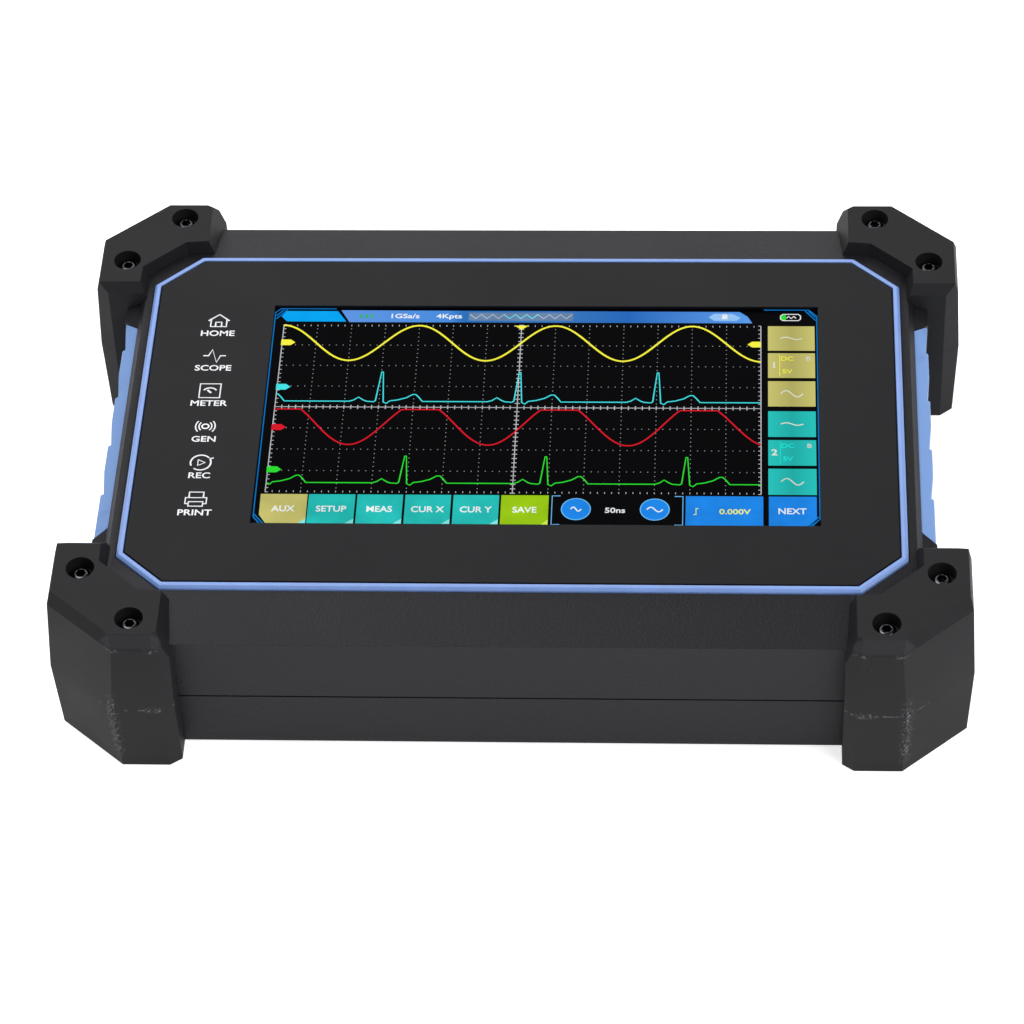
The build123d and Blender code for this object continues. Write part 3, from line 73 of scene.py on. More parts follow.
BAR_BOTTOM = SCREEN_Y + 39.3
BUTTONS_TOP = SCREEN_Y - 32.5
BUTTONS_BOTTOM = SCREEN_Y - 44.3
COLUMN_LEFT = SCREEN_X + 67.3
COLUMN_RIGHT = SCREEN_X + 81.3
KEY_PITCH = 14.8
KEY_TOP_Y = 39.7
KEY_WORD_DROP = 5.3
METER_PITCH = 19.0

# the graticule
TICKS_EACH = 5          # ticks to a division
DOT_HALF = 0.13
TICK_HALF = 0.11
CENTRE_TICK_HALF = TICK_HALF * 1.4
SIDE_TICK = 0.8         # length of a tick at the left and right borders
END_TICK = 0.6          # length of a tick at the top and bottom borders
CENTRE_TICK = 0.75      # reach of a tick to each side of a centre line

# places along the top bar
RUN_MARKS_X = (-49.4, -47.8, -46.2)
RATE_X = -36.2
MEMORY_X = -22.6
STRIP_LEFT = -16.7
STRIP_RIGHT = 15.0
STRIP_PEAKS = 18
WINDOW_LEFT = -6.5
WINDOW_RIGHT = 5.0
LOCK_X = 60.8
BATTERY_LEFT = 77.6
BATTERY_RIGHT = 83.6

# places along the row of buttons
BUTTON_CUT = 2.2        # the pale corner of a button
HELP_LEFT = -73.8
HELP_RIGHT = -60.0
TEAL_BUTTONS = ((-59.7, -46.1), (-45.5, -32.2), (-31.5, -18.2), (-17.5, -4.2))
SAVE_LEFT = -3.6
SAVE_RIGHT = 10.2
KNOBS_X = (18.2, 41.0)
KNOB_RADIUS = 4.2
KNOB_RISE = 0.5
KNOB_BRACKETS = ((11.2, 13.6), (49.1, 46.7))
TIME_X = 29.5
LEVEL_LEFT = 49.9
LEVEL_RIGHT = 72.3
LEVEL_X = 64.1
NEXT_LEFT = 73.9
NEXT_RIGHT = 87.7
BUTTON_WORDS = (("AUX", -66.9), ("SETUP", -52.9), ("MEAS", -38.9), ("CUR X", -24.9), ("CUR Y", -10.9),
                ("SAVE", 3.3), ("NEXT", 80.6))

# the column of channel buttons: top and bottom of each, and the height of its sine sign
COLUMN_ROWS = ((39.5, 29.1), (28.0, 17.6), (16.2, 5.7), (3.7, -6.8), (-8.1, -18.4), (-19.7, -30.1))
COLUMN_SIGNS = (0.5, 0.0, 1.3, 0.5, 0.0, 1.3)

# ---- where a bumper is rubbed, and where it has its painted highlight and painted shade, in millimetres ----
FRONT_RUB_AND_HIGHLIGHT_Y = 89.0
WAIST_CREASE_Z = 25.0
RUB_CORNER_X = 113.0
RUB_CORNER_Z = 17.0
RUB_CREASE_X = 101.0
TOP_CREASE_DROP = 4.0
TOP_CREASES_X = (99.5, 111.5)
CHAMFER_FROM = 3.9      # how far under the top the painted highlight on the chamfer begins and is full
CHAMFER_FULL = 2.9
CHAMFER_FROM_Y = 88.2

# ---- the camera: its place, and the directions that it looks along ----
CAMERA_PLACE = Vector((0.06289, -0.8234, 0.89246))
CAMERA_RIGHT = Vector((0.998492, 0.041333, -0.036134))
CAMERA_DOWN = Vector((0.005668, -0.732272, -0.680988))
CAMERA_FORWARD = Vector((-0.054607, 0.679756, -0.731402))
CAMERA_LENS = 140.55
CAMERA_SENSOR = 36.0

# ---- the studio: each lamp's name, place and size in metres, and watts ----
LAMPS = (("key", (-0.5, 0.3, 1.4), 0.7, 11.8),
         ("fill", (1.0, -0.7, 1.1), 1.0, 14.5),
         ("back", (-0.1, 1.3, 0.9), 1.2, 9.0))
WORLD_LIGHT = 0.34
FLOOR_GLOW = 0.7
FLOOR_HALF = 6.0
FLOOR_DROP = 0.0002


class Wire:
    """A socket of a paint. Arithmetic on wires adds Math nodes to the paint."""

    def __init__(self, paint, socket):
        self.paint = paint
        self.socket = socket

    def sum(self, operation, first, second=0.0, clamp=False):
        return self.paint.node("Math", {0: first, 1: second}, operation=operation, use_clamp=clamp)

    def __add__(self, other):
        return self.sum("ADD", self, other)

    def __radd__(self, other):
        return self.sum("ADD", other, self)

    def __sub__(self, other):
        return self.sum("SUBTRACT", self, other)

    def __rsub__(self, other):
        return self.sum("SUBTRACT", other, self)

    def __mul__(self, other):
        return self.sum("MULTIPLY", self, other)

    def __rmul__(self, other):
        return self.sum("MULTIPLY", other, self)

    def __abs__(self):
        return self.sum("ABSOLUTE", self)

    def above(self, low, high):
        """0 under low, 1 over high, and an even rise between."""
        return self.sum("MULTIPLY", self - low, 1 / (high - low), clamp=True)

    def within(self, centre, half, soft):
        """1 near centre, fading to 0 at a distance of half, over a width of soft."""
        return 1 - abs(self - centre).above(half - soft, half)


class Paint:
    """One node material around one Principled shader."""

    def __init__(self, name, **sockets):
        self.material = bpy.data.materials.new(name)
        self.material.use_nodes = True
        self.tree = self.material.node_tree
        self.shader = self.tree.nodes["Principled BSDF"]
        self.place = self.node("TexCoord", output="Object")
        self.set(**sockets)

    def feed(self, socket, value):
        """Give a socket a wire, a colour or a number."""
        if isinstance(value, Wire):
            self.tree.links.new(value.socket, socket)
        elif hasattr(value, "__len__") and socket.type == "RGBA" and len(value) == 3:
            socket.default_value = (*value, 1.0)
        else:
            socket.default_value = value

    def node(self, kind, sockets=None, output=0, stops=None, **settings):
        """Any other node: its settings first, then the values or wires of its sockets."""
        made = self.tree.nodes.new("ShaderNode" + kind)
        for name, value in settings.items():
            setattr(made, name, value)
        if stops:
            ramp = made.color_ramp.elements
            while len(ramp) < len(stops):
                ramp.new(1.0)
            for element, (position, tone) in zip(ramp, stops):
                element.position = position
                element.color = (*tone, 1.0)
        for key, value in (sockets or {}).items():
            self.feed(made.inputs[key], value)
        return Wire(self, made.outputs[output])

    def axes(self):
        """The three coordinates of a point of the piece, in millimetres."""
        return [self.node("SeparateXYZ", {0: self.place}, output=i) * (1 / MM) for i in range(3)]

    def noise(self, size, detail=2.0):
        """Soft blotches of about this size, in millimetres."""
        return self.node("TexNoise", {"Vector": self.place, "Scale": 1 / (size * MM), "Detail": detail})

    def mix(self, amount, first, second):
        """A colour between two colours."""
        return self.node("Mix", {0: amount, 6: first, 7: second}, output=2, data_type="RGBA")

    def bump(self, height, depth):
        """A surface relief; depth is in millimetres."""
        return self.node("Bump", {"Height": height, "Distance": depth * MM, "Strength": 1.0})

    def set(self, **sockets):
        """Feed the shader's own sockets, named with underscores for spaces."""
        for socket, value in sockets.items():
            self.feed(self.shader.inputs[socket.replace("_", " ")], value)
        return self


def srgb(red, green, blue):
    """A colour given as screen values from 0 to 255, as the shader wants it."""
    values = [v / 255 for v in (red, green, blue)]
    return tuple(v / 12.92 if v <= 0.04045 else ((v + 0.055) / 1.055) ** 2.4 for v in values)


def scaled(colour, factor):
    """A colour made lighter or darker, and never brighter than full."""
    return tuple(min(1.0, c * factor) for c in colour)


# ---- finishes ----

def moulded_plastic(name, colour, roughness, grain, depth):
    """A moulded plastic with a spark-eroded grain, a little uneven in tone and gloss."""
    paint = Paint(name, Specular_IOR_Level=0.17)
    fine = paint.noise(grain, 3.0)
    broad = paint.noise(28.0, 3.0)
    tone = paint.mix(broad.above(0.35, 0.7) * 0.5, scaled(colour, 0.92), scaled(colour, 1.14))
    speck = fine.above(0.5, 0.7)
    paint.set(Base_Color=paint.mix(speck * 0.5, tone, scaled(colour, 2.0)),
              Roughness=roughness + (broad - 0.5) * 0.12 + (fine - 0.5) * 0.1,
              Normal=paint.bump(fine, depth))
    return paint.material


def panel_film():
    """The smooth matt overlay of the front: almost no grain, faint handling smears."""
    paint = Paint("panel_film", Specular_IOR_Level=0.14)
    fine = paint.noise(0.25, 1.0)
    smear = paint.noise(34.0, 4.0)
    colour = srgb(16, 16, 19)
    paint.set(Base_Color=paint.mix(smear.above(0.4, 0.75) * 0.4, colour, scaled(colour, 1.15)),
              Roughness=0.5 + (smear - 0.5) * 0.16, Normal=paint.bump(fine, 0.004))
    return paint.material


def bumper_rubber():
    """Matt black rubber: rubbed corners and creases, a painted highlight on the near chamfer, and a thin line
    of painted shade along the crease half way up.
    """
    paint = Paint("bumper_rubber", Specular_IOR_Level=0.17)
    x, y, z = paint.axes()
    fine = paint.noise(0.4, 3.0)
    broad = paint.noise(16.0, 4.0)
    dashes = paint.noise(1.6, 2.0)
    specks = paint.noise(0.7, 2.0)
    colour = srgb(27, 27, 29)
    out = abs(x)
    front = abs(y).above(FRONT_RUB_AND_HIGHLIGHT_Y, FRONT_RUB_AND_HIGHLIGHT_Y + 3.5)
    crease_rub_and_shade = z.within(WAIST_CREASE_Z, 0.3, 0.2)
    corner = out.within(RUB_CORNER_X, 2.2, 1.8) * z.within(RUB_CORNER_Z, 15.0, 6.0)
    inner = out.within(RUB_CREASE_X, 3.4, 1.6) * z.within(WAIST_CREASE_Z, 1.4, 1.0)
    ends = [out.within(end, 2.6, 1.5) for end in TOP_CREASES_X]
    crease = z.within(BUMPER_TOP - TOP_CREASE_DROP, 1.0, 0.7) * (ends[0] + ends[1])
    worn = specks.above(0.5, 0.72) * (corner + inner + crease)
    rubbed = dashes.above(0.52, 0.66) * crease_rub_and_shade * 0.4
    dust = specks.above(0.7, 0.82) * broad.above(0.5, 0.66) * 0.4
    marks = (front * (worn * 0.5 + rubbed + dust)).above(0.0, 1.0)
    plain = paint.mix(broad.above(0.3, 0.75), scaled(colour, 0.86), scaled(colour, 1.22))
    # painted highlight: the chamfer band under the top, towards the front, is made lighter to stand for the
    # light that falls on it
    chamfer = z.above(BUMPER_TOP - CHAMFER_FROM, BUMPER_TOP - CHAMFER_FULL)
    lit_chamfer_band = chamfer * abs(y).above(CHAMFER_FROM_Y, FRONT_RUB_AND_HIGHLIGHT_Y)
    tone = paint.mix(lit_chamfer_band * 0.9, plain, scaled(colour, 2.4))
    # painted shade: a thin dark line along the crease half way up, on the sides away from the front
    crease_shaded = paint.mix(crease_rub_and_shade * (1 - front) * 0.6, tone, scaled(colour, 0.2))
    relief = fine + dashes * 0.4
    paint.set(Base_Color=paint.mix(marks, crease_shaded, srgb(142, 142, 144)),
              Roughness=0.62 + (broad - 0.5) * 0.2 + marks * 0.2, Normal=paint.bump(relief, 0.02))
    return paint.material


def blue_trim():
    """The satin light blue of the trim ring."""
    paint = Paint("blue_trim")
    broad = paint.noise(12.0, 3.0)
    fine = paint.noise(0.3, 2.0)
    colour = srgb(114, 145, 206)
    paint.set(Base_Color=paint.mix(broad.above(0.35, 0.7), scaled(colour, 0.95), scaled(colour, 1.06)),
              Roughness=0.38 + (broad - 0.5) * 0.1, Coat_Weight=0.1, Normal=paint.bump(fine, 0.004))
    return paint.material


def blue_grip():
    """The soft light blue grips, darker in blotches and towards the bottom."""
    paint = Paint("blue_grip")
    z = paint.axes()[2]
    fine = paint.noise(0.5, 3.0)
    broad = paint.noise(9.0, 4.0)
    colour = srgb(110, 144, 198)
    # darker in random blotches, and darker towards the bottom
    blotches_and_lower_dark = broad.above(0.55, 0.8) * 0.35 + (1 - z.above(10.0, 20.0)) * 0.25
    paint.set(Base_Color=paint.mix(blotches_and_lower_dark, colour, srgb(78, 104, 158)),
              Roughness=0.55 + (broad - 0.5) * 0.15, Normal=paint.bump(fine, 0.015))
    return paint.material


def metal(name, colour, roughness, brush=0.0):
    """A metal with fine tool marks."""
    paint = Paint(name, Metallic=1.0)
    marks = paint.noise(0.25, 3.0)
    broad = paint.noise(5.0, 3.0)
    paint.set(Base_Color=paint.mix(broad.above(0.35, 0.7), scaled(colour, 0.85), scaled(colour, 1.1)),
              Roughness=roughness + (broad - 0.5) * 0.15 + marks * brush, Normal=paint.bump(marks, 0.003))
    return paint.material


def plain_plastic(name, colour, roughness=0.4, coat=0.0):
    """A smooth moulding with slight unevenness."""
    paint = Paint(name, Coat_Weight=coat)
    broad = paint.noise(6.0, 3.0)
    fine = paint.noise(0.3, 2.0)
    paint.set(Base_Color=paint.mix(broad.above(0.35, 0.7), scaled(colour, 0.9), scaled(colour, 1.1)),
              Roughness=roughness + (broad - 0.5) * 0.12, Normal=paint.bump(fine, 0.006))
    return paint.material


def screen_black():
    """The black face of the touch glass."""
    paint = Paint("screen_black", Specular_IOR_Level=0.01)
    smear = paint.noise(22.0, 4.0)
    paint.set(Base_Color=paint.mix(smear, srgb(1, 1, 2), srgb(3, 3, 5)), Roughness=0.3 + smear * 0.1)
    return paint.material


def circuit_board():
    """Green solder mask with traces that show as a faint relief."""
    paint = Paint("circuit_board")
    cells = paint.node("TexBrick", {"Vector": paint.place, "Scale": 1 / (4 * MM), "Mortar Size": 0.04},
                       output=1)
    broad = paint.noise(8.0, 3.0)
    colour = srgb(20, 92, 52)
    paint.set(Base_Color=paint.mix(cells * 0.5 + broad * 0.2, colour, srgb(52, 140, 84)), Roughness=0.35,
              Normal=paint.bump(cells, 0.03))
    return paint.material


def light(name, colour, streak=0.12):
    """A lit colour of the display, slightly uneven as a backlight is."""
    paint = Paint(name, Base_Color=(0.0, 0.0, 0.0), Roughness=0.6, Specular_IOR_Level=0.0,
                  Emission_Strength=1.0)
    glow = paint.noise(9.0, 2.0)
    tint = paint.mix(glow.above(0.3, 0.7), scaled(colour, 1 - streak), scaled(colour, 1 + streak))
    paint.set(Emission_Color=tint)
    return paint.material


def light_bar(name, stops, left, right):
    """A lit colour that changes from left to right."""
    paint = Paint(name, Base_Color=(0.0, 0.0, 0.0), Roughness=0.6, Specular_IOR_Level=0.0,
                  Emission_Strength=1.0)
    across = paint.axes()[0].above(left, right)
    paint.set(Emission_Color=paint.node("ValToRGB", {0: across}, stops=stops))
    return paint.material


# ---- shapes ----

def finish(name, bm, material, body="case", matrix=None):
    """Turn a bmesh into a piece that rides on a body."""
    if matrix is not None:
        bmesh.ops.transform(bm, matrix=matrix, verts=bm.verts)
    mesh = bpy.data.meshes.new(name)
    bm.to_mesh(mesh)
    bm.free()
    mesh.materials.append(material)
    piece = bpy.data.objects.new(name, mesh)
    bpy.context.scene.collection.objects.link(piece)
    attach(piece, body)
    return piece


def smooth(piece, angle):
    """Smooth shading with crisp edges where the form turns sharply."""
    for face in piece.data.polygons:
        face.use_smooth = True
    piece.data.set_sharp_from_angle(angle=radians(angle))
    weigh = piece.modifiers.new("even_normals", "WEIGHTED_NORMAL")
    weigh.keep_sharp = True
    return piece


def softened(node, material, width, segments=2, angle=25.0, body="case"):
    """A copy of a CAD piece with rounded edges, which stands in for it."""
    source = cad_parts[node]
    bm = bmesh.new()
    bm.from_mesh(source.data)
    bmesh.ops.remove_doubles(bm, verts=bm.verts, dist=1e-6)
    bmesh.ops.dissolve_limit(bm, angle_limit=radians(1.0), verts=bm.verts, edges=bm.edges)
    sharp = [e for e in bm.edges if e.is_manifold and e.calc_face_angle(0.0) > radians(angle)]
    bmesh.ops.bevel(bm, geom=sharp, offset=width * MM, segments=segments, profile=0.5, affect="EDGES",
                    material=-1, clamp_overlap=True)
    piece = finish(node + "_finished", bm, material, body)
    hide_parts(node)
    return smooth(piece, 35)


def paint_node(node, material):
    """Give a CAD piece its finish."""
    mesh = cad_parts[node].data
    mesh.materials.clear()
    mesh.materials.append(material)


class Artwork:
    """Flat art of one colour, all of one thickness: filled shapes, lines and words."""

    def __init__(self):
        self.bm = bmesh.new()

    def shape(self, *points):
        """A filled outline."""
        corners = [self.bm.verts.new((x * MM, y * MM, 0.0)) for x, y in points]
        face = self.bm.faces.new(corners)
        raised = bmesh.ops.extrude_face_region(self.bm, geom=[face])["geom"]
        tops = [v for v in raised if isinstance(v, bmesh.types.BMVert)]
        bmesh.ops.translate(self.bm, vec=(0, 0, ART_THICK * MM), verts=tops)
        return self

    def block(self, left, right, bottom, top):
        """A filled rectangle."""
        return self.shape((left, bottom), (right, bottom), (right, top), (left, top))

    def disc(self, x, y, radius, corners=40):
        """A filled circle."""
        turns = [2 * pi * i / corners for i in range(corners)]
        return self.shape(*[(x + radius * cos(turn), y + radius * sin(turn)) for turn in turns])

    def line(self, points, width=0.3, closed=False):
        """A line of even width through these points."""
        curve = bpy.data.curves.new("line", "CURVE")
        curve.dimensions = "3D"
        curve.bevel_depth = width / 2 * MM
        curve.bevel_resolution = 1
        curve.use_fill_caps = True
        spline = curve.splines.new("POLY")
        spline.points.add(len(points) - 1)
        for point, (x, y) in zip(spline.points, points):
            point.co = (x * MM, y * MM, 0.0, 1.0)
        spline.use_cyclic_u = closed
        self.take(curve, flatten=ART_THICK / width)
        return self

    def arc(self, x, y, radius, start, end, width=0.3, stretch=1.0, steps=24):
        """A line along part of a circle, between two angles in degrees."""
        angles = [radians(start + (end - start) * i / steps) for i in range(steps + 1)]
        return self.line([(x + radius * cos(a), y + stretch * radius * sin(a)) for a in angles], width)

    def words(self, text, x, y, height, wide=1.0, weight=0.0):
        """Plain lettering, centred on its own height."""
        curve = bpy.data.curves.new("words", "FONT")
        curve.body = text
        curve.size = height / CAPITAL_SHARE * MM
        curve.align_x = "CENTER"
        curve.align_y = "CENTER"
        curve.offset = weight * MM
        curve.extrude = ART_THICK / 2 * MM
        curve.resolution_u = 4
        self.take(curve, shift=(x, y), wide=wide)
        return self

    def take(self, curve, shift=(0.0, 0.0), wide=1.0, flatten=1.0):
        """Add a curve or lettering as mesh, standing on the art's ground."""
        holder = bpy.data.objects.new("holder", curve)
        mesh = bpy.data.meshes.new_from_object(holder)
        scale = Matrix.Diagonal((wide, 1.0, flatten, 1.0))
        move = Matrix.Translation((shift[0] * MM, shift[1] * MM, ART_THICK / 2 * MM))
        mesh.transform(move @ scale)
        self.bm.from_mesh(mesh)
        bpy.data.objects.remove(holder)
        bpy.data.curves.remove(curve)
        bpy.data.meshes.remove(mesh)

    def place(self, name, material, height=0.0, matrix=None, body="case", slot=None):
        """Lay the art down at a height, in millimetres, or by a matrix."""
        bmesh.ops.recalc_face_normals(self.bm, faces=self.bm.faces)
        matrix = matrix or Matrix.Translation((0, 0, height * MM))
        return finish(name, self.bm, material, body, matrix)


# ---- the lit picture on the screen ----

YELLOW = srgb(250, 244, 70)
CYAN = srgb(70, 226, 230)
RED = srgb(214, 28, 44)
GREEN = srgb(46, 222, 52)
KHAKI = srgb(192, 186, 108)
TEAL = srgb(40, 186, 180)
BLUE = srgb(32, 132, 228)
LIME = srgb(150, 196, 24)
FRAME_BLUE = srgb(14, 116, 192)
SKY = srgb(10, 166, 245)
WHITE = srgb(235, 238, 240)

SCREEN_LEVEL = GLASS_HIGH.z / MM
PLATE_LEVEL = SCREEN_LEVEL + 0.01
MARK_LEVEL = PLATE_LEVEL + ART_THICK


def graticule():
    """The dotted grid, its ticked border and its ticked centre lines."""
    dots = Artwork()
    half = DOT_HALF
    for column in range(1, COLUMNS):
        for step in range(1, ROWS * TICKS_EACH):
            x = GRID_LEFT + column * DIVISION_X
            y = GRID_BOTTOM + step * DIVISION_Y / TICKS_EACH
            dots.block(x - half, x + half, y - half, y + half)
    for row in range(1, ROWS):
        for step in range(1, COLUMNS * TICKS_EACH):
            if step % TICKS_EACH:
                x = GRID_LEFT + step * DIVISION_X / TICKS_EACH
                y = GRID_BOTTOM + row * DIVISION_Y
                dots.block(x - half, x + half, y - half, y + half)
    dots.place("screen_dots", light("dot_light", srgb(156, 158, 162)), PLATE_LEVEL, slot="screen_glass")
    ticks = Artwork()
    thin, thick = TICK_HALF, CENTRE_TICK_HALF
    for step in range(COLUMNS * TICKS_EACH + 1):
        x = GRID_LEFT + step * DIVISION_X / TICKS_EACH
        ticks.block(x - thin, x + thin, GRID_BOTTOM, GRID_BOTTOM + END_TICK)
        ticks.block(x - thin, x + thin, GRID_TOP - END_TICK, GRID_TOP)
        ticks.block(x - thick, x + thick, MIDDLE_Y - CENTRE_TICK, MIDDLE_Y + CENTRE_TICK)
    for step in range(ROWS * TICKS_EACH + 1):
        y = GRID_BOTTOM + step * DIVISION_Y / TICKS_EACH
        ticks.block(GRID_LEFT, GRID_LEFT + SIDE_TICK, y - thin, y + thin)
        ticks.block(GRID_RIGHT - SIDE_TICK, GRID_RIGHT, y - thin, y + thin)
        ticks.block(MIDDLE_X - CENTRE_TICK, MIDDLE_X + CENTRE_TICK, y - thick, y + thick)
    ticks.line([(GRID_LEFT, MIDDLE_Y), (GRID_RIGHT, MIDDLE_Y)], 0.28)
    ticks.line([(MIDDLE_X, GRID_BOTTOM), (MIDDLE_X, GRID_TOP)], 0.28)
    ticks.line([(GRID_LEFT, GRID_BOTTOM), (GRID_LEFT, GRID_TOP)], 0.3)
    ticks.line([(GRID_RIGHT, GRID_BOTTOM), (GRID_RIGHT, GRID_TOP)], 0.3)
    ticks.place("screen_ticks", light("tick_light", srgb(186, 188, 192)), PLATE_LEVEL, slot="screen_glass")


def wave(centre, height, peak, ceiling=None):
    """The points of a sine trace; a ceiling cuts its tops flat."""
    points = []
    steps = 280
    for i in range(steps + 1):
        x = GRID_LEFT + (GRID_RIGHT - GRID_LEFT) * i / steps
        y = centre + height * cos(2 * pi * (x - peak) / PERIOD)
        points.append((x, y if ceiling is None else min(y, ceiling)))
    return points


HEARTBEAT = ((-9.2, 0.0), (-7.9, 0.5), (-6.5, 1.7), (-5.0, 0.5), (-4.0, 0.0), (-1.9, -0.2),
             (-1.4, 0.3), (-0.25, 1.0), (0.0, 1.0), (0.25, 1.0), (0.95, -0.3), (1.9, -0.9), (2.9, 0.2),
             (5.2, 0.6), (7.7, 1.5), (9.6, 2.9), (10.5, 2.9), (11.5, 1.7), (12.6, 0.0), (20.6, 0.0))


def heartbeat(base, spike, height):
    """The points of a heartbeat trace, cut off at the sides of the grid."""
    points = []
    for beat in range(-1, 5):
        for along, up in HEARTBEAT:
            lift = height if abs(along) < 0.3 else up
            points.append((spike + beat * PERIOD + along, base + lift))
    inside = [p for p in points if GRID_LEFT + 0.2 < p[0] < GRID_RIGHT - 0.2]
    first = points[points.index(inside[0]) - 1]
    share = (GRID_LEFT - first[0]) / (inside[0][0] - first[0])
    start = (GRID_LEFT, first[1] + share * (inside[0][1] - first[1]))
    return [start] + inside + [(GRID_RIGHT, inside[-1][1])]


def traces():
    """The four traces, each with its mark at the left edge."""
    unit = DIVISION_Y
    sets = (
        ("yellow", YELLOW, wave(GRID_TOP - 0.86 * unit - 0.3, 0.86 * unit, GRID_LEFT),
         GRID_TOP - 0.88 * unit, 0.62),
        ("cyan", CYAN, heartbeat(GRID_TOP - 3.73 * unit, GRID_LEFT + 3.03 * DIVISION_X, 12.3),
         GRID_TOP - 3.05 * unit, 0.42),
        ("red", RED, wave(GRID_TOP - 4.78 * unit, 8.73, GRID_LEFT + 0.22 * DIVISION_X, MIDDLE_Y - 1.0),
         GRID_TOP - 4.98 * unit, 0.5),
        ("green", GREEN, heartbeat(GRID_TOP - 7.56 * unit, GRID_LEFT + 3.9 * DIVISION_X, 10.8),
         GRID_TOP - 6.96 * unit, 0.42),
    )
    for name, colour, points, mark, width in sets:
        art = Artwork().line(points, width)
        art.shape((GRID_LEFT - 0.3, mark - 1.2), (GRID_LEFT + 2.6, mark - 1.2), (GRID_LEFT + 4.0, mark),
                  (GRID_LEFT + 2.6, mark + 1.2), (GRID_LEFT - 0.3, mark + 1.2))
        if name == "yellow":
            art.shape((MIDDLE_X - 2.1, GRID_TOP - 0.2), (MIDDLE_X, GRID_TOP - 1.9),
                      (MIDDLE_X + 2.1, GRID_TOP - 0.2))
            level = mark - 0.3
            art.shape((GRID_RIGHT, level - 1.2), (GRID_RIGHT, level + 1.2), (GRID_RIGHT - 2.6, level + 1.2),
                      (GRID_RIGHT - 4.0, level), (GRID_RIGHT - 2.6, level - 1.2))
        art.place("trace_" + name, light("trace_light_" + name, colour, 0.04), MARK_LEVEL,
                  slot="screen_glass")


def screen_frame():
    """The thin blue outline of the picture, with slanting strokes at its corners."""
    left, right, bottom, top = OUTLINE
    art = Artwork()
    art.line([(left + 18.5, top), (left + 1.6, top), (left, top - 1.6), (left + 0.3, bottom + 3.4),
              (left + 2.6, bottom), (right - 3.4, bottom), (right, bottom + 3.4), (right - 0.1, top - 2.6),
              (right - 2.4, top), (right - 16.0, top)], 0.36)
    corners = ((1, -1, left, top), (-1, -1, right, top), (1, 1, left, bottom), (-1, 1, right, bottom))
    for sx, sy, x, y in corners:
        for reach in (3.1, 4.4):
            art.line([(x + sx * 0.4, y + sy * reach), (x + sx * reach * 0.8, y + sy * 0.4)], 0.4)
    art.place("screen_outline", light("outline_light", FRAME_BLUE), PLATE_LEVEL, slot="screen_glass")


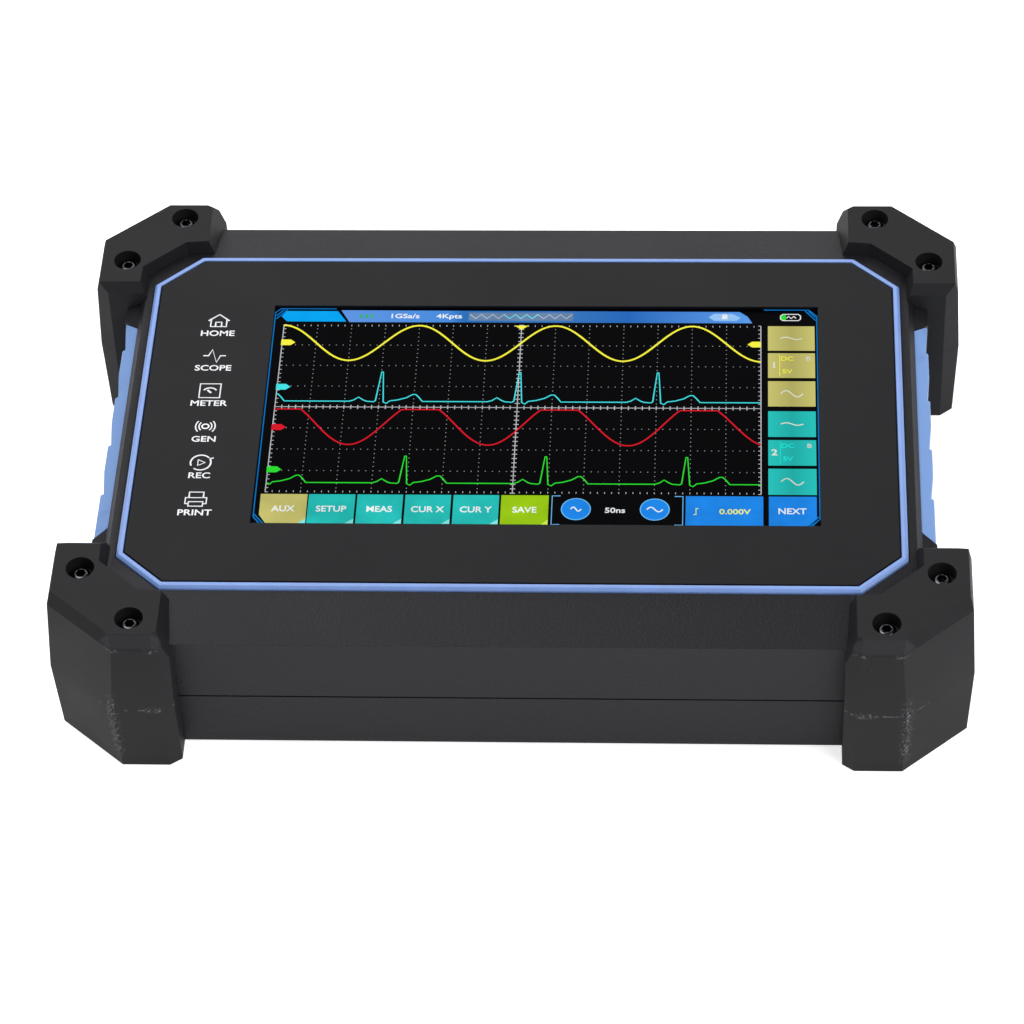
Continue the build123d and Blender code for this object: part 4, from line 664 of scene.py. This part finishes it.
def top_bar():
    """The top bar: a blank plate, a long bar with the sampling facts, a memory strip and a battery."""
    left = OUTLINE[0]
    plate = Artwork()
    plate.shape((left + 1.9, 43.2), (left + 3.4, BAR_TOP), (left + 19.0, BAR_TOP), (left + 21.8, BAR_BOTTOM),
                (left + 3.8, BAR_BOTTOM))
    plate.place("screen_name_plate", light("sky_light", SKY, 0.06), PLATE_LEVEL, slot="screen_glass")
    bar_left = left + 20.0
    bar_right = GRID_RIGHT - 2.6
    bar = Artwork()
    bar.shape((bar_left, BAR_TOP + 0.4), (bar_left + 2.8, BAR_BOTTOM - 0.2), (bar_right, BAR_BOTTOM - 0.2),
              (bar_right - 1.4, BAR_BOTTOM + 2.6), (bar_right - 3.8, BAR_TOP + 0.1))
    stops = ((0.0, srgb(96, 150, 228)), (0.26, srgb(74, 140, 222)), (0.3, srgb(46, 112, 186)),
             (0.52, srgb(60, 120, 190)), (0.7, srgb(40, 104, 186)), (1.0, srgb(92, 156, 236)))
    bar.place("screen_top_bar", light_bar("bar_light", stops, bar_left, bar_right), PLATE_LEVEL,
              slot="screen_glass")
    low, high = BAR_BOTTOM + 0.6, BAR_TOP - 0.5
    strip = Artwork().block(STRIP_LEFT, STRIP_RIGHT, low, high)
    strip.place("screen_memory_strip", light("strip_light", srgb(104, 132, 168)), MARK_LEVEL,
                slot="screen_glass")
    middle = (low + high) / 2
    length = STRIP_RIGHT - STRIP_LEFT - 0.8
    zigzag = [(STRIP_LEFT + 0.4 + length * i / STRIP_PEAKS, middle + (-0.9 if i % 2 else 0.9))
              for i in range(STRIP_PEAKS + 1)]
    above = MARK_LEVEL + ART_THICK
    Artwork().line(zigzag, 0.3).place("screen_memory_wave", light("pale_light", srgb(196, 206, 216)), above,
                                      slot="screen_glass")
    window = [p for p in zigzag if WINDOW_LEFT < p[0] < WINDOW_RIGHT]
    bright = Artwork().line(window, 0.36)
    bright.place("screen_memory_window", light("window_light", srgb(110, 240, 250)), above + 0.02,
                 slot="screen_glass")
    words = Artwork()
    words.words("1GSa/s", RATE_X, middle, 1.9, 1.25, 0.04)
    words.words("4Kpts", MEMORY_X, middle, 1.9, 1.25, 0.04)
    words.block(LOCK_X - 0.8, LOCK_X + 0.8, middle - 0.8, middle + 0.8)
    words.arc(LOCK_X, middle + 0.7, 0.6, 0, 180, 0.25)
    words.place("screen_bar_words", light("white_light", WHITE), above, slot="screen_glass")
    lozenge = Artwork()
    lozenge.shape((55.9, middle), (57.6, middle + 1.5), (63.0, middle + 1.5), (65.6, middle - 0.2),
                  (64.4, middle - 1.5), (57.6, middle - 1.5))
    lozenge.place("screen_lock_plate", light("lozenge_light", srgb(150, 196, 246)), MARK_LEVEL,
                  slot="screen_glass")
    run = Artwork()
    for x in RUN_MARKS_X:
        run.block(x - 0.45, x + 0.45, middle - 0.8, middle + 0.8)
    run.place("screen_run_mark", light("run_light", srgb(64, 170, 120)), MARK_LEVEL, slot="screen_glass")
    battery = Artwork()
    battery.line([(BATTERY_LEFT + 0.7, middle + 1.35), (BATTERY_RIGHT - 0.7, middle + 1.35),
                  (BATTERY_RIGHT, middle + 0.7), (BATTERY_RIGHT, middle - 0.7),
                  (BATTERY_RIGHT - 0.7, middle - 1.35), (BATTERY_LEFT + 0.7, middle - 1.35),
                  (BATTERY_LEFT, middle - 0.7), (BATTERY_LEFT, middle + 0.7)], 0.34, closed=True)
    battery.line([(79.4, middle - 0.3), (80.0, middle + 0.5), (80.8, middle - 0.5), (81.6, middle + 0.5),
                  (82.2, middle - 0.3)], 0.4)
    battery.place("screen_battery", light("battery_light", WHITE), MARK_LEVEL, slot="screen_glass")
    charge = Artwork().block(BATTERY_LEFT + 0.2, BATTERY_LEFT + 1.6, middle - 1.1, middle + 1.1)
    charge.place("screen_battery_charge", light("charge_light", GREEN), PLATE_LEVEL, slot="screen_glass")


def squiggle(art, x, y, half, height, width=0.42):
    """A small sine sign."""
    steps = 16
    points = [(x - half + 2 * half * i / steps, y + height * sin(2 * pi * i / steps))
              for i in range(steps + 1)]
    art.line(points, width)


def bottom_bar():
    """The row of touch buttons under the grid."""
    top, bottom = BUTTONS_TOP, BUTTONS_BOTTOM
    cut = BUTTON_CUT
    khaki = Artwork().shape((HELP_LEFT, top), (-60.1, top), (HELP_RIGHT, bottom + 0.2), (-71.6, bottom + 0.2),
                            (-73.7, bottom + 3.6))
    khaki.place("button_help", light("khaki_light", KHAKI), PLATE_LEVEL, slot="screen_glass")
    teal = Artwork()
    corners = Artwork()
    corners.shape((HELP_RIGHT - cut, bottom + 0.2), (HELP_RIGHT, bottom + 0.2), (HELP_RIGHT, bottom + cut))
    for left, right in TEAL_BUTTONS:
        teal.block(left, right, bottom, top)
        corners.shape((right - cut - 0.6, bottom), (right, bottom), (right, bottom + cut))
    teal.place("buttons_teal", light("teal_light", TEAL), PLATE_LEVEL, slot="screen_glass")
    lime = Artwork().block(SAVE_LEFT, SAVE_RIGHT, bottom, top)
    lime.place("button_save", light("lime_light", LIME), PLATE_LEVEL, slot="screen_glass")
    corners.place("button_corners", light("corner_light", srgb(130, 226, 222)), MARK_LEVEL,
                  slot="screen_glass")
    save = Artwork().shape((SAVE_RIGHT - cut, bottom), (SAVE_RIGHT, bottom), (SAVE_RIGHT, bottom + cut))
    save.place("button_save_corner", light("lime_pale_light", srgb(206, 230, 90)), MARK_LEVEL,
               slot="screen_glass")
    blue = Artwork().block(LEVEL_LEFT, LEVEL_RIGHT, bottom + 0.1, top)
    blue.shape((NEXT_LEFT, bottom + 0.2), (84.9, bottom + 0.2), (NEXT_RIGHT, bottom + 3.2),
               (NEXT_RIGHT, top), (NEXT_LEFT, top))
    middle = (top + bottom) / 2
    knob_y = middle + KNOB_RISE
    for x in KNOBS_X:
        blue.disc(x, knob_y, KNOB_RADIUS)
    blue.place("buttons_blue", light("blue_light", BLUE), PLATE_LEVEL, slot="screen_glass")
    rims = Artwork()
    for x in KNOBS_X:
        rims.arc(x, knob_y, KNOB_RADIUS, 0, 360, 0.3)
    for outer, inner in KNOB_BRACKETS:
        rims.line([(inner, top - 0.2), (outer, top - 0.2), (outer, bottom + 0.3),
                   (inner, bottom + 0.3)], 0.34)
    rims.place("time_base_rims", light("rim_light", srgb(110, 190, 246)), MARK_LEVEL, slot="screen_glass")
    words = Artwork()
    for text, x in BUTTON_WORDS:
        words.words(text, x, middle, 2.3, 1.0, 0.05)
    words.words("50ns", TIME_X, middle, 2.0, 1.15, 0.05)
    squiggle(words, KNOBS_X[0], knob_y, 1.5, 0.8)
    squiggle(words, KNOBS_X[1], knob_y, 2.3, 0.9)
    words.place("button_words", light("button_word_light", WHITE), MARK_LEVEL, slot="screen_glass")
    level = Artwork().words("0.000V", LEVEL_X, middle - 0.3, 2.0, 1.15, 0.05)
    level.line([(52.2, middle - 1.4), (52.9, middle - 1.4), (52.9, middle + 1.0), (53.6, middle + 1.0)], 0.35)
    level.place("trigger_words", light("level_light", srgb(232, 238, 120)), MARK_LEVEL, slot="screen_glass")


def right_column():
    """The column of channel buttons at the right of the grid."""
    left, right = COLUMN_LEFT, COLUMN_RIGHT
    rows = COLUMN_ROWS
    for name, colour, share in (("khaki", KHAKI, rows[:3]), ("teal", TEAL, rows[3:])):
        pale = scaled(colour, 1.1)
        stops = ((0.0, pale), (0.5, scaled(colour, 0.82)), (1.0, pale))
        art = Artwork()
        for top, bottom in share:
            art.block(left, right, bottom, top)
        art.place("column_" + name, light_bar(name + "_column_light", stops, left, right), PLATE_LEVEL,
                  slot="screen_glass")
        facts = Artwork()
        top, bottom = share[1]
        facts.words("DC", left + 5.7, top - 2.4, 1.8, 1.1, 0.03)
        facts.words("5V", left + 5.7, bottom + 2.6, 1.8, 1.1, 0.03)
        facts.line([(left + 3.5, top - 0.6), (left + 3.5, bottom + 0.6)], 0.2)
        tone = srgb(236, 232, 60) if name == "khaki" else srgb(30, 224, 210)
        facts.place("column_facts_" + name, light(name + "_facts_light", tone), MARK_LEVEL,
                    slot="screen_glass")
    signs = Artwork()
    for (top, bottom), height in zip(rows, COLUMN_SIGNS):
        if height:
            squiggle(signs, left + 7.0, (top + bottom) / 2, 3.3, height, 0.4)
    for number, (top, bottom) in (("1", rows[1]), ("2", rows[4])):
        signs.words(number, left + 1.8, (top + bottom) / 2, 2.4, 1.1, 0.08)
        signs.words("B", left + 12.0, top - 2.4, 1.7, 1.1, 0.03)
    signs.place("column_signs", light("sign_light", srgb(214, 216, 204)), MARK_LEVEL, slot="screen_glass")


# ---- printing on the case ----

def key_signs():
    """The signs of the touch keys."""
    art = Artwork()
    x = KEY_X
    stroke = 0.55
    y = KEY_TOP_Y
    art.line([(x - 3.2, y + 0.2), (x, y + 2.9), (x + 3.2, y + 0.2)], stroke)
    art.line([(x - 2.4, y + 0.7), (x - 2.4, y - 2.3), (x + 2.4, y - 2.3), (x + 2.4, y + 0.7)], stroke)
    art.line([(x - 0.9, y - 2.2), (x - 0.9, y - 0.4), (x + 0.9, y - 0.4), (x + 0.9, y - 2.2)], stroke)
    y -= KEY_PITCH
    art.line([(x - 3.4, y), (x - 1.8, y), (x - 0.8, y + 2.6), (x + 0.8, y - 2.8), (x + 1.8, y), (x + 3.4, y)],
             stroke)
    y -= KEY_PITCH
    art.line([(x - 3.1, y - 2.9), (x + 3.1, y - 2.9), (x + 3.1, y + 2.9), (x - 3.1, y + 2.9)], stroke,
             closed=True)
    art.arc(x, y - 1.1, 2.3, 35, 145, stroke)
    art.line([(x + 0.4, y - 0.9), (x - 0.8, y + 0.3)], 0.7)
    y -= KEY_PITCH
    art.arc(x, y, 1.0, 0, 360, stroke, 0.9)
    for side in (0, 180):
        art.arc(x, y, 1.9, side - 48, side + 48, 0.45, 1.1)
        art.arc(x, y, 2.9, side - 42, side + 42, 0.45, 1.1)
    y -= KEY_PITCH
    art.arc(x, y, 3.0, 40, 205, stroke)
    art.arc(x, y, 3.0, 232, 392, stroke)
    art.line([(x + 2.5, y + 1.6), (x + 3.7, y + 1.9)], 0.5)
    art.line([(x - 0.8, y - 1.2), (x + 1.3, y), (x - 0.8, y + 1.2)], stroke, closed=True)
    y -= KEY_PITCH
    art.line([(x - 2.1, y + 0.7), (x - 2.1, y + 2.9), (x + 2.1, y + 2.9), (x + 2.1, y + 0.7)], stroke)
    art.line([(x - 2.1, y - 1.7), (x - 3.1, y - 1.7), (x - 3.1, y + 0.7), (x + 3.1, y + 0.7),
              (x + 3.1, y - 1.7), (x + 2.1, y - 1.7)], stroke)
    art.line([(x - 2.1, y - 0.9), (x + 2.1, y - 0.9), (x + 2.1, y - 2.7), (x - 2.1, y - 2.7)], stroke,
             closed=True)
    for row, text in enumerate(("HOME", "SCOPE", "METER", "GEN", "REC", "PRINT")):
        art.words(text, x, KEY_TOP_Y - KEY_WORD_DROP - row * KEY_PITCH, 2.3, 1.16, 0.05)
    art.place("key_signs", plain_plastic("white_print", srgb(226, 227, 230), 0.5),
              PANEL_HIGH.z / MM + 0.005, slot="panel_film")


def rear_signs():
    """Plain words over the sockets on the connector wall, and the sign on the power button.

    The art is drawn as it is read from outside, so its x runs against the frame's.
    """
    art = Artwork()
    for node, text in (("coax_socket_channel_1", "CH1"), ("coax_socket_channel_2", "CH2"),
                       ("coax_socket_generator", "GEN")):
        low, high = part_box(node)
        art.words(text, -(low.x + high.x) / 2 / MM, high.z / MM + 3.6, 2.0, 1.1, 0.06)
    low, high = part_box("meter_contacts")
    first = low.x / MM + 2.5
    for index, text in enumerate(("A", "mA", "COM", "V")):
        art.words(text, -(first + METER_PITCH * index), high.z / MM + 6.4, 2.0, 1.1, 0.06)
    low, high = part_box("dc_inlet")
    art.words("DC", -(low.x + high.x) / 2 / MM, low.z / MM - 0.2, 1.8, 1.1, 0.05)
    button_low, button_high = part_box("power_button")
    turn = Matrix(((-1, 0, 0, 0), (0, 0, 1, PLATE_HIGH.y), (0, 1, 0, 0), (0, 0, 0, 1)))
    art.place("rear_signs", plain_plastic("grey_print", srgb(200, 201, 204), 0.5), matrix=turn,
              slot="plate_plastic")
    ring = Artwork()
    centre_x = -(button_low.x + button_high.x) / 2 / MM
    centre_z = (button_low.z + button_high.z) / 2 / MM
    ring.arc(centre_x, centre_z, 1.5, 125, 415, 0.4)
    ring.line([(centre_x, centre_z + 0.4), (centre_x, centre_z + 2.0)], 0.4)
    face = Matrix(((-1, 0, 0, 0), (0, 0, 1, button_high.y), (0, 1, 0, 0), (0, 0, 0, 1)))
    ring.place("power_sign", plain_plastic("power_print", srgb(214, 90, 60), 0.5), matrix=face,
               body="power_button", slot="plate_plastic")


# ---- the object ----

def dress_case():
    """Finish the pieces that show."""
    case = moulded_plastic("case_plastic", srgb(24, 24, 28), 0.46, 0.6, 0.1)
    for node in ("front_shell", "rear_shell"):
        softened(node, case, 0.45)
    softened("battery_door", case, 0.25)
    softened("stand", case, 0.3, body="stand")
    softened("front_panel", panel_film(), 0.15)
    softened("trim_ring", blue_trim(), 0.22)
    rubber = bumper_rubber()
    for place in ("right_far", "left_far", "right_near", "left_near"):
        softened("bumper_" + place, rubber, 1.2, 3, 18.0)
    softened("stand_foot_strip", rubber, 0.2, body="stand")
    grip = blue_grip()
    for side in ("left", "right"):
        softened("side_grip_" + side, grip, 0.5, 3, 18.0)
    paint_node("touch_glass", screen_black())


def dress_fittings():
    """Finish the sockets, screws and everything inside."""
    black_screw = metal("black_screw", srgb(66, 66, 70), 0.2)
    for node in ("bumper_screws", "shell_screws", "battery_door_screws"):
        softened(node, black_screw, 0.12)
    for node in ("display_screws", "main_board_screws", "side_grip_screws"):
        paint_node(node, black_screw)
    nickel = metal("nickel", srgb(206, 202, 194), 0.22)
    for node in ("coax_socket_channel_1", "coax_socket_channel_2", "coax_socket_generator", "coax_nuts",
                 "host_port", "device_port"):
        softened(node, nickel, 0.12)
    paint_node("dc_inlet_pin", nickel)
    gold = metal("gold", srgb(226, 186, 96), 0.2)
    paint_node("coax_contacts", gold)
    paint_node("meter_contacts", gold)
    white = plain_plastic("white_insulator", srgb(226, 224, 216), 0.35)
    for node in ("coax_insulators", "meter_fuses", "meter_board_spacers"):
        paint_node(node, white)
    black = plain_plastic("socket_black", srgb(34, 34, 36), 0.35)
    softened("meter_socket_common", black, 0.2)
    for node in ("port_tongues", "buzzer", "processor", "memory_chips"):
        paint_node(node, black)
    softened("meter_sockets_live", plain_plastic("socket_red", srgb(178, 26, 26), 0.32), 0.2)
    plate = moulded_plastic("plate_plastic", srgb(26, 26, 28), 0.5, 0.4, 0.02)
    softened("connector_plate", plate, 0.1)
    softened("dc_inlet", plate, 0.15)
    softened("power_button", plate, 0.15, body="power_button")
    board = circuit_board()
    for node in ("touch_key_board", "main_board", "meter_board", "power_switch"):
        paint_node(node, board)
    tin = metal("tin", srgb(176, 178, 182), 0.35, 0.1)
    for node in ("display_module", "display_bracket", "input_shields"):
        paint_node(node, tin)
    paint_node("heat_spreader", metal("aluminium", srgb(196, 198, 202), 0.32, 0.15))
    paint_node("stand_pins", metal("pin_steel", srgb(170, 170, 172), 0.25))
    paint_node("display_cable", plain_plastic("cable_film", srgb(176, 122, 40), 0.3))
    paint_node("battery_pack", plain_plastic("battery_wrap", srgb(46, 82, 150), 0.3, 0.3))
    foam = plain_plastic("seal_rubber", srgb(14, 14, 15), 0.8)
    paint_node("shell_seal", foam)
    paint_node("display_gasket", foam)


def studio():
    """A pale floor, soft light and the camera."""
    bm = bmesh.new()
    bmesh.ops.create_grid(bm, x_segments=1, y_segments=1, size=FLOOR_HALF)
    mesh = bpy.data.meshes.new("floor")
    bm.to_mesh(mesh)
    bm.free()
    floor = bpy.data.objects.new("floor", mesh)
    floor.location = (0, 0, -FLOOR_DROP)
    bpy.context.scene.collection.objects.link(floor)
    pale = Paint("pale_floor", Base_Color=(0.86, 0.86, 0.87), Roughness=0.9, Specular_IOR_Level=0.1,
                 Emission_Color=(1.0, 1.0, 1.0), Emission_Strength=FLOOR_GLOW)
    mesh.materials.append(pale.material)
    world = bpy.data.worlds.new("studio")
    bpy.context.scene.world = world
    world.use_nodes = True
    sky = world.node_tree.nodes["Background"].inputs
    sky["Color"].default_value = (1.0, 1.0, 1.0, 1.0)
    sky["Strength"].default_value = WORLD_LIGHT
    for name, place, size, power in LAMPS:
        lamp = bpy.data.lights.new(name, "AREA")
        lamp.size = size
        lamp.energy = power
        holder = bpy.data.objects.new(name, lamp)
        holder.location = place
        holder.rotation_euler = (-Vector(place)).to_track_quat("-Z", "Y").to_euler()
        bpy.context.scene.collection.objects.link(holder)
    data = bpy.data.cameras.new("camera")
    data.lens = CAMERA_LENS
    data.sensor_width = CAMERA_SENSOR
    camera = bpy.data.objects.new("camera", data)
    turn = Matrix((CAMERA_RIGHT, -CAMERA_DOWN, -CAMERA_FORWARD)).transposed().to_4x4()
    camera.matrix_world = Matrix.Translation(CAMERA_PLACE) @ turn
    bpy.context.scene.collection.objects.link(camera)
    bpy.context.scene.camera = camera
    bpy.context.scene.view_settings.view_transform = "Standard"


dress_case()
dress_fittings()
graticule()
traces()
screen_frame()
top_bar()
bottom_bar()
right_column()
key_signs()
rear_signs()
studio()
